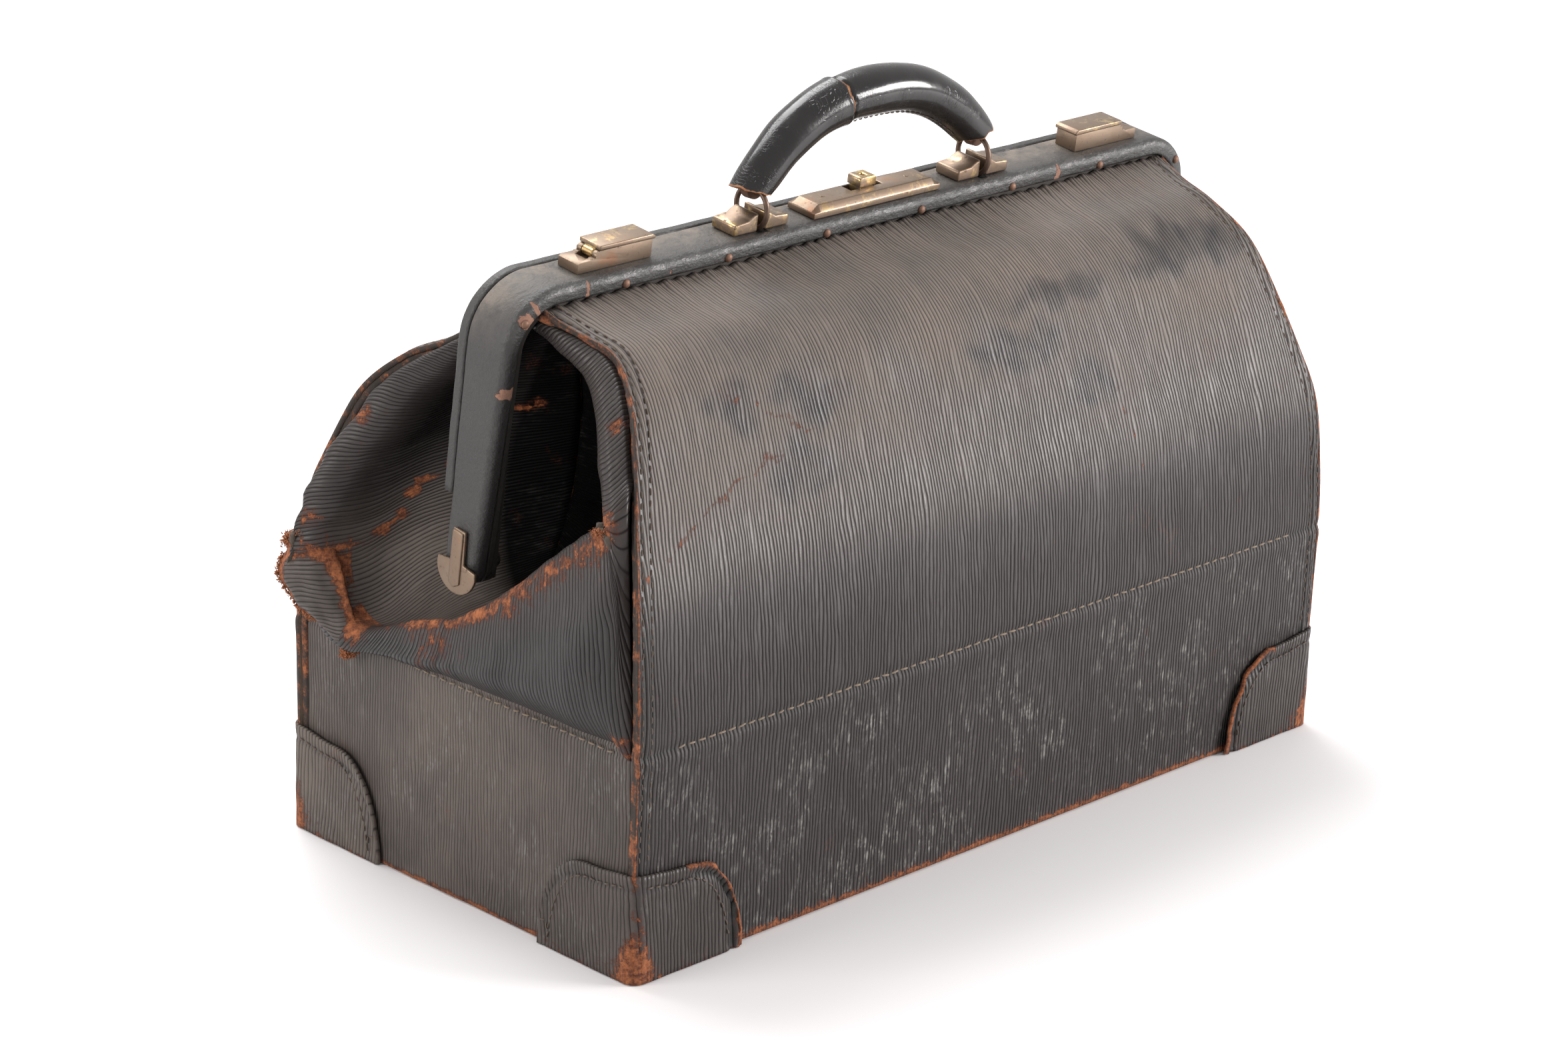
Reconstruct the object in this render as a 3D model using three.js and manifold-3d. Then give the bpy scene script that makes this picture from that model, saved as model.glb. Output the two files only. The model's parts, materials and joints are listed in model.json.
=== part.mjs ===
// Doctor bag: a stiff leather-covered box below, a hinged two-part leather-covered frame above it,
// brass snap latches, a sliding lock button and a rolled leather handle on two wire rings.
// Units are millimetres. +X runs along the bag, -Y is the front, +Z is up, origin under the middle.

import * as THREE from 'three';
import { mergeVertices } from 'three/addons/utils/BufferGeometryUtils.js';
import Module from 'manifold-3d';

const wasm = await Module();
wasm.setup();

// ---------------------------------------------------------------- driving dimensions
const HALF_LENGTH = 215;        // body, outside of the end gussets
const HALF_DEPTH = 106.5;       // body, outside of the front and rear panels
const LEATHER = 2.2;            // body leather
const BOARD = 2.5;              // stiffening board
const SKIN = 1.0;               // lining
const GAP = 0.3;                // clearance between pieces that touch
const SEAM_Z = 100;             // stitched row round the body, top of the boards
const WALL_TOP = 150;           // upright part of the front and rear panels
const SHELF_TOP = 128;          // where the end gussets fold inwards
const SHELF_INNER = 193;        // inner edge of that fold

const PIVOT_Y = 8;              // frame hinge line
const PIVOT_Z = 148;
const LEAN = THREE.MathUtils.degToRad(7);   // the closed frame leans to the front
const FRAME_HALF = 210;         // outside of the frame legs
const FRAME_TOP = 125;          // top of the frame above the hinge line
const FRAME_CORNER = 27;        // outer corner radius of the frame
const COVER = 7.6;              // leather-covered outer part of a frame half
const CORE = 2.2;               // steel band inside it
const FRONT_EDGE = -15.1;       // front half of the frame, across its top
const SPLIT = 8.9;              // where the front half meets the rear half
const REAR_EDGE = 14.4;
const LEG_HALF = 9;             // leg half-width at the hinge
const PIN_R = 2.4;

const FITTINGS_X = 4.5;         // the fittings sit a little right of the middle
const LATCH_INNER = 131.5;      // inner end of a latch from the middle of the fittings
const LATCH_LENGTH = 41;
const LATCH_FRONT = -8.1;
const LATCH_DEPTH = 12;
const LEVER_PIVOT = 29.5;       // lever hinge from the latch's inner end
const LEVER_PIVOT_H = 6.0;
const LOCK_HALF = 39;
const LOCK_FRONT = -11.5;
const LOCK_DEPTH = 16.6;
const RING_X = 68.75;           // handle rings from the middle of the fittings
const RING_R = 9.2;             // to the middle of the wire
const WIRE_R = 1.2;
const RING_H = 8.4;             // ring centre above the frame top
const RING_V = -2.4;            // ring centre across the frame
const APEX_H = 39.5;            // middle of the grip above the ring centres
const ARCH_POWER = 2.65;
const GRIP_R = 11;
const GRIP_END_R = 8.6;
const GRIP_END_X = 65;
const CORE_R = 5.8;
const CORE_END_X = 61;
const EYE_HALF = 2.1;           // the core's eyes, half their thickness

const FRONT_SHELL_R = 111;      // soft upper front, swung about the hinge line
const REAR_SHELL_R = 95.5;      // soft upper rear
const SHELL = 2.5;
const SHELL_HALF = 190.3;
const FRONT_SHELL_END = 93;     // degrees from straight up where the front shell ends, inside the wall
const REAR_SHELL_END = -107;
const REAR_SHELL_BEND = -49;    // where the rear shell turns in towards the frame
const REAR_SHELL_TOP = 110.5;   // its distance from the hinge line under the frame
const HINGE_EYE_R = 15;         // the end plates stay this far from the hinge line

const TACK_X = [29.3, 88, 146.5];
const CORNER_TACK_X = 201;

// ---------------------------------------------------------------- materials
const finish = (color, roughness, metalness = 0) => ({ color, roughness, metalness });
const BODY_LEATHER = finish(0x2b2827, 0.6);
const FRAME_LEATHER = finish(0x1f2022, 0.45);
const HANDLE_LEATHER = finish(0x141414, 0.25);
const BOARD_GREY = finish(0x8a7a62, 0.9);
const LINING_CLOTH = finish(0x4a3a2c, 0.9);
const BRASS = finish(0x8d7650, 0.4, 1);
const STEEL = finish(0x6a665f, 0.5, 1);
const RUSTY = finish(0x6d4630, 0.7, 0.6);
const WORN = finish(0x7a3b1e, 0.85);
const TAN = finish(0x8a5a35, 0.9);

// ---------------------------------------------------------------- geometry helpers
function solid(geometry) {
  const bare = geometry.clone();
  bare.deleteAttribute('normal');
  bare.deleteAttribute('uv');
  const merged = mergeVertices(bare, 1e-4);
  const vertProperties = new Float32Array(merged.attributes.position.array);
  const triVerts = new Uint32Array(merged.index.array);
  return new wasm.Manifold(new wasm.Mesh({ numProp: 3, vertProperties, triVerts }));
}

function geometryOf(manifold) {
  const mesh = manifold.getMesh();
  const geometry = new THREE.BufferGeometry();
  geometry.setAttribute('position', new THREE.BufferAttribute(mesh.vertProperties, 3));
  geometry.setIndex(new THREE.BufferAttribute(mesh.triVerts, 1));
  geometry.computeVertexNormals();
  return geometry;
}

function union(...geometries) {
  return geometryOf(geometries.map(solid).reduce((all, next) => all.add(next)));
}

function cut(geometry, ...tools) {
  return geometryOf(tools.map(solid).reduce((left, tool) => left.subtract(tool), solid(geometry)));
}

function common(a, b) {
  return geometryOf(solid(a).intersect(solid(b)));
}

// Box from its lowest and highest coordinates; the two x values may come in either order.
function box(xa, xb, y0, y1, z0, z1) {
  const geometry = new THREE.BoxGeometry(Math.abs(xb - xa), y1 - y0, z1 - z0);
  return geometry.translate((xa + xb) / 2, (y0 + y1) / 2, (z0 + z1) / 2);
}

const ALONG = {
  x: new THREE.Matrix4().makeBasis(
    new THREE.Vector3(0, 1, 0), new THREE.Vector3(0, 0, 1), new THREE.Vector3(1, 0, 0)),
  y: new THREE.Matrix4().makeBasis(
    new THREE.Vector3(1, 0, 0), new THREE.Vector3(0, 0, 1), new THREE.Vector3(0, -1, 0)),
};

// Extrudes an outline along x (outline in y, z) or along y (outline in x, z).
function prism(shape, axis, from, to, curveSegments = 6) {
  const depth = to - from;
  const geometry = new THREE.ExtrudeGeometry(shape, { depth, bevelEnabled: false, curveSegments });
  geometry.applyMatrix4(ALONG[axis]);
  return axis === 'x' ? geometry.translate(from, 0, 0) : geometry.translate(0, to, 0);
}

function polygon(points) {
  return new THREE.Shape(points.map(([a, b]) => new THREE.Vector2(a, b)));
}

function rod(axis, radius, from, to, sides = 16) {
  const shape = new THREE.Shape().absarc(0, 0, radius, 0, Math.PI * 2);
  return prism(shape, axis, from, to, sides / 2);
}

// Arch band: a top bar and two legs with rounded outer corners, seen from the front.
function arch(outerHalf, top, corner, thickness, bottom) {
  const innerHalf = outerHalf - thickness;
  const innerCorner = corner - thickness;
  const side = outerHalf - corner;
  const shape = new THREE.Shape();
  shape.moveTo(outerHalf, bottom);
  shape.lineTo(outerHalf, top - corner);
  shape.absarc(side, top - corner, corner, 0, Math.PI / 2, false);
  shape.lineTo(-side, top);
  shape.absarc(-side, top - corner, corner, Math.PI / 2, Math.PI, false);
  shape.lineTo(-outerHalf, bottom);
  shape.lineTo(-innerHalf, bottom);
  shape.lineTo(-innerHalf, top - corner);
  shape.absarc(-side, top - corner, innerCorner, Math.PI, Math.PI / 2, true);
  shape.lineTo(side, top - thickness);
  shape.absarc(side, top - corner, innerCorner, Math.PI / 2, 0, true);
  shape.lineTo(innerHalf, bottom);
  shape.closePath();
  return shape;
}

// Side outline of a frame half: full width at the top, tapering to a round eye at the hinge.
function taper(front, rear) {
  const shape = new THREE.Shape();
  shape.moveTo(LEG_HALF, 0);
  shape.lineTo(rear, FRAME_TOP - FRAME_CORNER);
  shape.lineTo(rear, FRAME_TOP + 1);
  shape.lineTo(front, FRAME_TOP + 1);
  shape.lineTo(front, FRAME_TOP - FRAME_CORNER);
  shape.lineTo(-LEG_HALF, 0);
  shape.absarc(0, 0, LEG_HALF, Math.PI, Math.PI * 2, false);
  return prism(shape, 'x', -FRAME_HALF - 5, FRAME_HALF + 5);
}

// A point about the hinge line; 0 degrees is straight up, positive towards the front.
function spot(radius, degrees) {
  const angle = THREE.MathUtils.degToRad(degrees);
  return [-radius * Math.sin(angle), radius * Math.cos(angle)];
}

function swing(radius, from, to, steps) {
  return Array.from({ length: steps + 1 }, (_, i) => spot(radius, from + (to - from) * i / steps));
}

// ---------------------------------------------------------------- scene graph
const bag = new THREE.Group();
const frame = new THREE.Group();          // leans with the closed frame, origin on the hinge line
frame.position.set(0, PIVOT_Y, PIVOT_Z);
frame.rotation.x = LEAN;
bag.add(frame);

const ringHeight = FRAME_TOP + RING_H;
const handle = new THREE.Group();         // upright, origin midway between the ring centres
handle.position.set(
  FITTINGS_X,
  PIVOT_Y + RING_V * Math.cos(LEAN) - ringHeight * Math.sin(LEAN),
  PIVOT_Z + RING_V * Math.sin(LEAN) + ringHeight * Math.cos(LEAN));
bag.add(handle);

function add(group, name, geometry, look) {
  const mesh = new THREE.Mesh(geometry, new THREE.MeshStandardMaterial(look));
  mesh.name = name;
  group.add(mesh);
  return mesh;
}

const SIDES = [['left', -1], ['right', 1]];

// ---------------------------------------------------------------- box of the bag
function makeBottom() {
  const x = HALF_LENGTH - GAP;
  const y = HALF_DEPTH - GAP;
  add(bag, 'bottom_panel', box(-x, x, -y, y, 0, LEATHER), BODY_LEATHER);
  const floor = LEATHER + GAP;
  const boardX = HALF_LENGTH - LEATHER - BOARD - 2 * GAP;
  const boardY = HALF_DEPTH - LEATHER - BOARD - 2 * GAP;
  const board = box(-boardX, boardX, -boardY, boardY, floor, floor + BOARD);
  add(bag, 'bottom_board', board, BOARD_GREY);
}

function makeWalls() {
  const floor = LEATHER + GAP;
  const panelX = HALF_LENGTH - LEATHER - GAP;
  const boardX = HALF_LENGTH - LEATHER - BOARD - 2 * GAP;
  const inY = HALF_DEPTH - LEATHER;
  for (const [name, sign] of [['front', -1], ['rear', 1]]) {
    const low = (a, b) => Math.min(sign * a, sign * b);
    const high = (a, b) => Math.max(sign * a, sign * b);
    const wall = box(-panelX, panelX, low(inY, HALF_DEPTH), high(inY, HALF_DEPTH), floor, WALL_TOP);
    add(bag, `${name}_panel_lower`, wall, BODY_LEATHER);
    const outer = inY - GAP;
    const inner = outer - BOARD;
    const board = box(-boardX, boardX, low(inner, outer), high(inner, outer), floor, SEAM_Z - 3);
    add(bag, `${name}_board`, board, BOARD_GREY);
  }
}

// End gusset: upright wall, a fold running inwards, and a tab behind the frame legs for the hinge pin.
function makeGussets() {
  const floor = LEATHER + GAP;
  const depth = HALF_DEPTH - LEATHER - GAP;
  const tabHalf = 14;
  const tabTop = PIVOT_Z + 12;
  for (const [name, side] of SIDES) {
    const outline = polygon([
      [HALF_LENGTH, floor], [HALF_LENGTH, SHELF_TOP], [SHELF_INNER, SHELF_TOP],
      [SHELF_INNER, SHELF_TOP - LEATHER], [HALF_LENGTH - LEATHER, SHELF_TOP - LEATHER],
      [HALF_LENGTH - LEATHER, floor]].map(([x, z]) => [side * x, z]));
    const fold = prism(outline, 'y', -depth, depth);
    const tab = box(side * SHELF_INNER, side * (SHELF_INNER + LEATHER),
      PIVOT_Y - tabHalf, PIVOT_Y + tabHalf, SHELF_TOP - 1, tabTop);
    const bore = rod('x', PIN_R + GAP, -FRAME_HALF, FRAME_HALF).translate(0, PIVOT_Y, PIVOT_Z);
    add(bag, `${name}_gusset_lower`, cut(union(fold, tab), bore), BODY_LEATHER);
    const outer = HALF_LENGTH - LEATHER - GAP;
    const boardY = HALF_DEPTH - LEATHER - BOARD - 2 * GAP;
    const board = box(side * outer, side * (outer - BOARD + GAP), -boardY, boardY, floor, SEAM_Z - 3);
    add(bag, `${name}_board`, board, BOARD_GREY);
  }
}

function makeLining() {
  const x = HALF_LENGTH - LEATHER - BOARD - 2 * GAP;
  const y = HALF_DEPTH - LEATHER - BOARD - 2 * GAP;
  const floor = LEATHER + BOARD + 2 * GAP;
  const outside = box(-x, x, -y, y, floor, SEAM_Z - 3);
  const inside = box(-x + SKIN, x - SKIN, -y + SKIN, y - SKIN, floor + SKIN, SEAM_Z);
  add(bag, 'lining', cut(outside, inside), LINING_CLOTH);
}

// Welt: the narrow strip sewn into each upright corner seam.
function makeWelts() {
  const inX = HALF_LENGTH - LEATHER;
  const inY = HALF_DEPTH - LEATHER;
  for (const [end, side] of SIDES) {
    for (const [face, sign] of [['front', -1], ['rear', 1]]) {
      const y = [sign * inY, sign * HALF_DEPTH].sort((a, b) => a - b);
      const strip = box(side * inX, side * HALF_LENGTH, y[0], y[1], LEATHER + GAP, WALL_TOP);
      add(bag, `${face}_${end}_welt`, strip, WORN);
    }
  }
}

// Corner patch: two rounded lobes wrapped round a lower corner, dipping at the corner itself.
function lobe(corner, inward, width) {
  const height = 46;
  const dip = 40;
  const shape = new THREE.Shape();
  shape.moveTo(corner, 0);
  shape.lineTo(corner, dip);
  shape.quadraticCurveTo(corner + inward * width * 0.2, height, corner + inward * width * 0.45, height);
  shape.quadraticCurveTo(corner + inward * width, height, corner + inward * width, 0);
  return shape;
}

function makeCornerPatches() {
  const thick = 1.8;
  const outX = HALF_LENGTH + GAP + thick;
  const outY = HALF_DEPTH + GAP + thick;
  for (const [end, side] of SIDES) {
    for (const [face, sign] of [['front', -1], ['rear', 1]]) {
      const y = [sign * (outY - thick), sign * outY].sort((a, b) => a - b);
      const x = [side * (outX - thick), side * outX].sort((a, b) => a - b);
      const along = prism(lobe(side * outX, -side, 57), 'y', y[0], y[1]);
      const across = prism(lobe(sign * outY, -sign, 55), 'x', x[0], x[1]);
      add(bag, `${face}_${end}_corner_patch`, union(along, across), BODY_LEATHER);
    }
  }
}

// ---------------------------------------------------------------- frame
const coreTop = FRAME_TOP - COVER - GAP;
const rearCoreTop = coreTop - CORE - GAP;
const POCKET_TOP = FRAME_TOP - 5;       // pockets for the catches stay under the leather

function band(outerDrop, thickness, v0, v1) {
  const shape = arch(FRAME_HALF - outerDrop, FRAME_TOP - outerDrop, FRAME_CORNER - outerDrop, thickness,
    -LEG_HALF - 1);
  return prism(shape, 'y', v0, v1);
}

function pinBore() {
  return rod('x', PIN_R + 0.1, -FRAME_HALF - 1, FRAME_HALF + 1, 24);
}

// Slots, open to the rear, that let the rear half's catches swing out of the front half.
function catchSlots(w0, w1) {
  const latchSlots = SIDES.map(([, side]) => {
    const x = FITTINGS_X + side * (LATCH_INNER + 12);
    return box(x - 4, x + 4, -7, SPLIT + 1, w0, w1);
  });
  const lockSlot = box(FITTINGS_X + 19.4, FITTINGS_X + 25.8, -5, SPLIT + 1, w0, w1);
  return [...latchSlots, lockSlot];
}

function makeFrontFrame() {
  const ringGrooves = SIDES.map(([, side]) => {
    const x = FITTINGS_X + side * RING_X;
    return box(x - 2.2, x + 2.2, RING_V - 7.5, RING_V + 7.5, FRAME_TOP - 2.5, FRAME_TOP + 1);
  });
  const boltPocket = box(FITTINGS_X - 19.2, FITTINGS_X + 25.8, -5, 4.4, coreTop, POCKET_TOP);
  const buttonSlot = box(FITTINGS_X - 9.6, FITTINGS_X + 9.6, -3.8, 3.2, coreTop, FRAME_TOP + 1);
  const cover = cut(common(band(0, COVER, FRONT_EDGE, SPLIT), taper(FRONT_EDGE, SPLIT)),
    pinBore(), boltPocket, buttonSlot, ...ringGrooves, ...catchSlots(coreTop, POCKET_TOP));
  add(frame, 'front_frame_cover', cover, FRAME_LEATHER);

  const core = cut(
    common(band(COVER + GAP, CORE, FRONT_EDGE + 1.5, SPLIT - 1), taper(FRONT_EDGE + 1.5, SPLIT - 1)),
    pinBore(), ...catchSlots(rearCoreTop - 2, coreTop + 1));
  add(frame, 'front_frame_core', core, STEEL);
}

function makeRearFrame() {
  const cover = common(band(0, COVER + CORE, SPLIT + GAP, REAR_EDGE), taper(FRONT_EDGE, REAR_EDGE));
  const upper = cut(cover, box(-FRAME_HALF - 5, FRAME_HALF + 5, -50, 50, -20, 30));
  add(frame, 'rear_frame_cover', upper, FRAME_LEATHER);

  const drop = COVER + CORE + 2 * GAP;
  const core = cut(common(band(drop, CORE + 0.3, -9, REAR_EDGE - 0.5), taper(-9, REAR_EDGE - 0.5)), pinBore());
  add(frame, 'rear_frame_core', core, STEEL);
}

function makeHinges() {
  for (const [name, side] of SIDES) {
    const profile = [[0, 0], [4.5, 0], [4.5, 1.5], [PIN_R, 1.5], [PIN_R, 18.5], [0, 18.5]];
    const pin = new THREE.LatheGeometry(profile.map(([r, h]) => new THREE.Vector2(r, h)), 24);
    pin.rotateZ(-side * Math.PI / 2);
    pin.translate(side * (SHELF_INNER - GAP - 1.5), PIVOT_Y, PIVOT_Z);
    add(bag, `${name}_hinge_pin`, pin, STEEL);

    const anchor = new THREE.Shape();
    anchor.moveTo(4, 3);
    anchor.lineTo(3.6, 17);
    anchor.lineTo(-3.6, 17);
    anchor.lineTo(-4, 3);
    anchor.lineTo(-12, 1);
    anchor.absarc(0, 0, 12, Math.PI, Math.PI * 2, false);
    anchor.lineTo(12, 1);
    anchor.closePath();
    const stem = polygon([[3.2, -6], [3.2, 16], [-3.2, 16], [-3.2, -6]]);
    const x = side * (FRAME_HALF + GAP);
    const spans = [1.4, 2.3].map((thick) => [x, x + side * thick].sort((a, b) => a - b));
    const cap = union(prism(anchor, 'x', ...spans[0]), prism(stem, 'x', ...spans[1]));
    add(frame, `${name}_hinge_cap`, cap, BRASS);
  }
}

// ---------------------------------------------------------------- soft upper parts
function makeUpperLeather() {
  const front = [...swing(FRONT_SHELL_R, 5, FRONT_SHELL_END, 16),
    ...swing(FRONT_SHELL_R - SHELL, FRONT_SHELL_END, 5, 16)];
  add(frame, 'front_panel_upper', prism(polygon(front), 'x', -SHELL_HALF, SHELL_HALF), BODY_LEATHER);

  const outer = [...swing(REAR_SHELL_R, REAR_SHELL_END, REAR_SHELL_BEND, 10), spot(REAR_SHELL_TOP, -6)];
  const inner = [spot(REAR_SHELL_TOP - SHELL, -6),
    ...swing(REAR_SHELL_R - SHELL, REAR_SHELL_BEND, REAR_SHELL_END, 10)];
  const rear = polygon([...outer, ...inner]);
  add(frame, 'rear_panel_upper', prism(rear, 'x', -SHELL_HALF, SHELL_HALF), BODY_LEATHER);

  const frontR = FRONT_SHELL_R - SHELL - GAP;
  const rearR = REAR_SHELL_R - SHELL - GAP;
  const rearTop = REAR_SHELL_TOP - SHELL - GAP;
  const frontSector = polygon([...swing(frontR, 0.3, FRONT_SHELL_END, 16),
    ...swing(HINGE_EYE_R, FRONT_SHELL_END, 0.3, 4)]);
  const rearSector = polygon([...swing(rearR, REAR_SHELL_END, REAR_SHELL_BEND, 10),
    ...swing(rearTop, -6, -0.3, 1), ...swing(HINGE_EYE_R, -0.3, REAR_SHELL_END, 4)]);
  for (const [name, side] of SIDES) {
    const x = [side * (SHELL_HALF - 2), side * SHELL_HALF].sort((a, b) => a - b);
    add(frame, `${name}_gusset_front`, prism(frontSector, 'x', ...x), BODY_LEATHER);
    add(frame, `${name}_gusset_rear`, prism(rearSector, 'x', ...x), BODY_LEATHER);
  }
}

// ---------------------------------------------------------------- fittings on the frame
function makeTacks() {
  const profile = [[0, 0], [2.3, 0], [2.0, 0.8], [1.1, 1.3], [0, 1.4]];
  const head = new THREE.LatheGeometry(profile.map(([r, h]) => new THREE.Vector2(r, h)), 10);
  head.rotateX(Math.PI);
  head.translate(0, FRONT_EDGE - GAP, FRAME_TOP - 5.5);
  for (const [name, side] of SIDES) {
    TACK_X.forEach((x, i) => {
      add(frame, `${name}_tack_${i + 1}`, head.clone().translate(side * x, 0, 0), RUSTY);
    });
    add(frame, `${name}_tack_corner`, head.clone().translate(side * CORNER_TACK_X, 0, -7), RUSTY);
  }
}

function makeLatches() {
  const base = FRAME_TOP + GAP;
  const v0 = LATCH_FRONT;
  const v1 = LATCH_FRONT + LATCH_DEPTH;
  const mid = (v0 + v1) / 2;
  const low = 4.7;
  const high = 8;
  const plateUnder = high + GAP;
  const plateThick = 2;
  for (const [name, side] of SIDES) {
    const at = (s) => FITTINGS_X + side * (LATCH_INNER + s);
    const outline = polygon([
      [at(0), base], [at(LATCH_LENGTH), base], [at(LATCH_LENGTH), base + low - 0.6],
      [at(LATCH_LENGTH - 1), base + low], [at(LEVER_PIVOT + 4), base + low],
      [at(LEVER_PIVOT + 2.6), base + high], [at(0), base + high]]);
    const recess = box(at(LEVER_PIVOT - 3), at(LEVER_PIVOT + 5), mid - 3.4, mid + 3.4,
      base + LEVER_PIVOT_H - 2.6, base + high + 1);
    const boss = rod('y', 2.0, v0 - 2, v1 + 2).translate(at(LEVER_PIVOT), 0, base + LEVER_PIVOT_H);
    const swept = box(at(LEVER_PIVOT), at(LEVER_PIVOT + 5), v0 - 1, v1 + 1,
      base + LEVER_PIVOT_H - 0.8, base + high + 1);
    const room = cut(swept, boss);
    const pinHole = rod('y', 1.3, v0 - 1, v1 + 1).translate(at(LEVER_PIVOT), 0, base + LEVER_PIVOT_H);
    add(frame, `${name}_latch_base`, cut(prism(outline, 'y', v0, v1), recess, room, pinHole), BRASS);

    const pin = rod('y', 1.0, v0 + 0.2, v1 - 0.2).translate(at(LEVER_PIVOT), 0, base + LEVER_PIVOT_H);
    add(frame, `${name}_latch_pin`, pin, STEEL);

    const plate = polygon([
      [at(-1.2), base + plateUnder - 0.2], [at(LEVER_PIVOT + 0.4), base + plateUnder],
      [at(LEVER_PIVOT + 0.4), base + plateUnder + plateThick], [at(0), base + plateUnder + plateThick],
      [at(-1.2), base + plateUnder + plateThick - 0.8]]);
    const knuckle = rod('y', 2.1, mid - 3.1, mid + 3.1).translate(at(LEVER_PIVOT), 0, base + LEVER_PIVOT_H);
    const web = box(at(LEVER_PIVOT - 1.8), at(LEVER_PIVOT + 0.4), mid - 3.1, mid + 3.1,
      base + LEVER_PIVOT_H, base + plateUnder + 0.5);
    const lever = union(prism(plate, 'y', v0 - 0.4, v1 + 0.4), knuckle, web);
    const eye = rod('y', 1.1, v0 - 1, v1 + 1).translate(at(LEVER_PIVOT), 0, base + LEVER_PIVOT_H);
    add(frame, `${name}_latch_lever`, cut(lever, eye), BRASS);

    const hookX = FITTINGS_X + side * (LATCH_INNER + 12);
    const post = box(hookX - 3, hookX + 3, -4, -2, rearCoreTop + GAP, POCKET_TOP - 0.6);
    const tooth = box(hookX - 3, hookX + 3, -6, -2, POCKET_TOP - 2, POCKET_TOP - 0.6);
    add(frame, `${name}_catch_hook`, union(post, tooth), STEEL);
  }
}

function makeLock() {
  const base = FRAME_TOP + GAP;
  const v0 = LOCK_FRONT;
  const v1 = LOCK_FRONT + LOCK_DEPTH;
  const edge = 2.7;
  const top = 5.5;
  const section = polygon([[v0, base], [v1, base], [v1, base + edge], [v1 - 2.4, base + top],
    [v0 + 2.4, base + top], [v0, base + edge]]);
  const ends = new THREE.Shape();
  ends.moveTo(-LOCK_HALF, base - 1);
  ends.lineTo(LOCK_HALF, base - 1);
  ends.lineTo(LOCK_HALF, base + edge);
  ends.lineTo(LOCK_HALF - 4, base + top + 0.5);
  ends.lineTo(-LOCK_HALF + 4, base + top + 0.5);
  ends.lineTo(-LOCK_HALF, base + edge);
  ends.closePath();
  const plate = common(prism(section, 'x', -LOCK_HALF, LOCK_HALF), prism(ends, 'y', v0 - 1, v1 + 1));
  const slot = box(-9.6, 9.6, -3.8, 3.2, base - 1, base + top + 1);
  add(frame, 'lock_plate', cut(plate, slot).translate(FITTINGS_X, 0, 0), BRASS);

  const boltW = coreTop + GAP;
  const bar = box(-13.5, 13.5, -4.5, 3.9, boltW, boltW + 2);
  const tongue = box(13, 19.8, -1.5, 0.9, boltW, boltW + 2);
  add(frame, 'lock_bolt', union(bar, tongue).translate(FITTINGS_X, 0, 0), STEEL);

  const stem = box(-4, 4, -3.5, 2.9, boltW + 2 + GAP, base + top + 1);
  const head = box(-5, 5, -4.3, 3.7, base + top + GAP, base + top + 4.8);
  const keyhole = box(-0.9, 0.9, -1.6, 1.0, base + top + 2.8, base + top + 6);
  const button = cut(union(stem, head), keyhole);
  add(frame, 'lock_button', button.translate(FITTINGS_X, 0, 0), BRASS);

  const staple = box(20.5, 22.5, -4, 3.4, rearCoreTop + GAP, POCKET_TOP - GAP);
  const window = box(20, 23, -1.9, 1.3, boltW - GAP, boltW + 2 + GAP);
  add(frame, 'lock_staple', cut(staple, window).translate(FITTINGS_X, 0, 0), STEEL);
}

// Handle plate: a low cast block with a hump on each side of the ring gap and a bar across the gap.
function makeHandlePlates() {
  const base = FRAME_TOP + GAP;
  const half = 16;
  const depth = 7;
  const hump = 8;
  for (const [name, side] of SIDES) {
    const outline = new THREE.Shape();
    outline.moveTo(-half, base);
    outline.lineTo(half, base);
    outline.lineTo(half, base + 5);
    outline.lineTo(half - 8, base + 5.5);
    outline.quadraticCurveTo(6, base + hump, 2, base + hump);
    outline.lineTo(-2, base + hump);
    outline.quadraticCurveTo(-6, base + hump, -half + 8, base + 5.5);
    outline.lineTo(-half, base + 5);
    outline.closePath();
    const block = prism(outline, 'y', RING_V - depth, RING_V + depth, 4);
    const slot = box(-2.2, 2.2, RING_V - 10, RING_V + 10, base - 1, base + 10);
    const bar = rod('x', 1.1, -3, 3, 12).translate(0, RING_V, FRAME_TOP + 1.9);
    const plate = union(cut(block, slot), bar);
    add(frame, `${name}_handle_plate`, plate.translate(FITTINGS_X + side * RING_X, 0, 0), BRASS);
  }
}

// ---------------------------------------------------------------- handle
const archHeight = (x) => APEX_H - (APEX_H - RING_R) * (Math.abs(x) / RING_X) ** ARCH_POWER;

class HandleArch extends THREE.Curve {
  constructor(half) {
    super();
    this.half = half;
  }

  getPoint(t, target = new THREE.Vector3()) {
    const x = this.half * (2 * t - 1);
    return target.set(x, 0, archHeight(x));
  }
}

// Round bar of changing radius bent along the handle's arch.
function bentBar(halfX, radiusAt, steps, sides) {
  const path = new HandleArch(halfX);
  const profile = [new THREE.Vector2(0, 0)];
  for (let i = 0; i <= steps; i++) {
    profile.push(new THREE.Vector2(radiusAt(i / steps), i / steps));
  }
  profile.push(new THREE.Vector2(0, 1));
  const bar = new THREE.LatheGeometry(profile, sides);
  const position = bar.attributes.position;
  const across = new THREE.Vector3(0, 1, 0);
  for (let i = 0; i < position.count; i++) {
    const t = position.getY(i);
    const centre = path.getPointAt(t);
    const tangent = path.getTangentAt(t);
    const up = new THREE.Vector3().crossVectors(across, tangent);
    centre.addScaledVector(across, position.getX(i)).addScaledVector(up, position.getZ(i));
    position.setXYZ(i, centre.x, centre.y, centre.z);
  }
  return bar;
}

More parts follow.
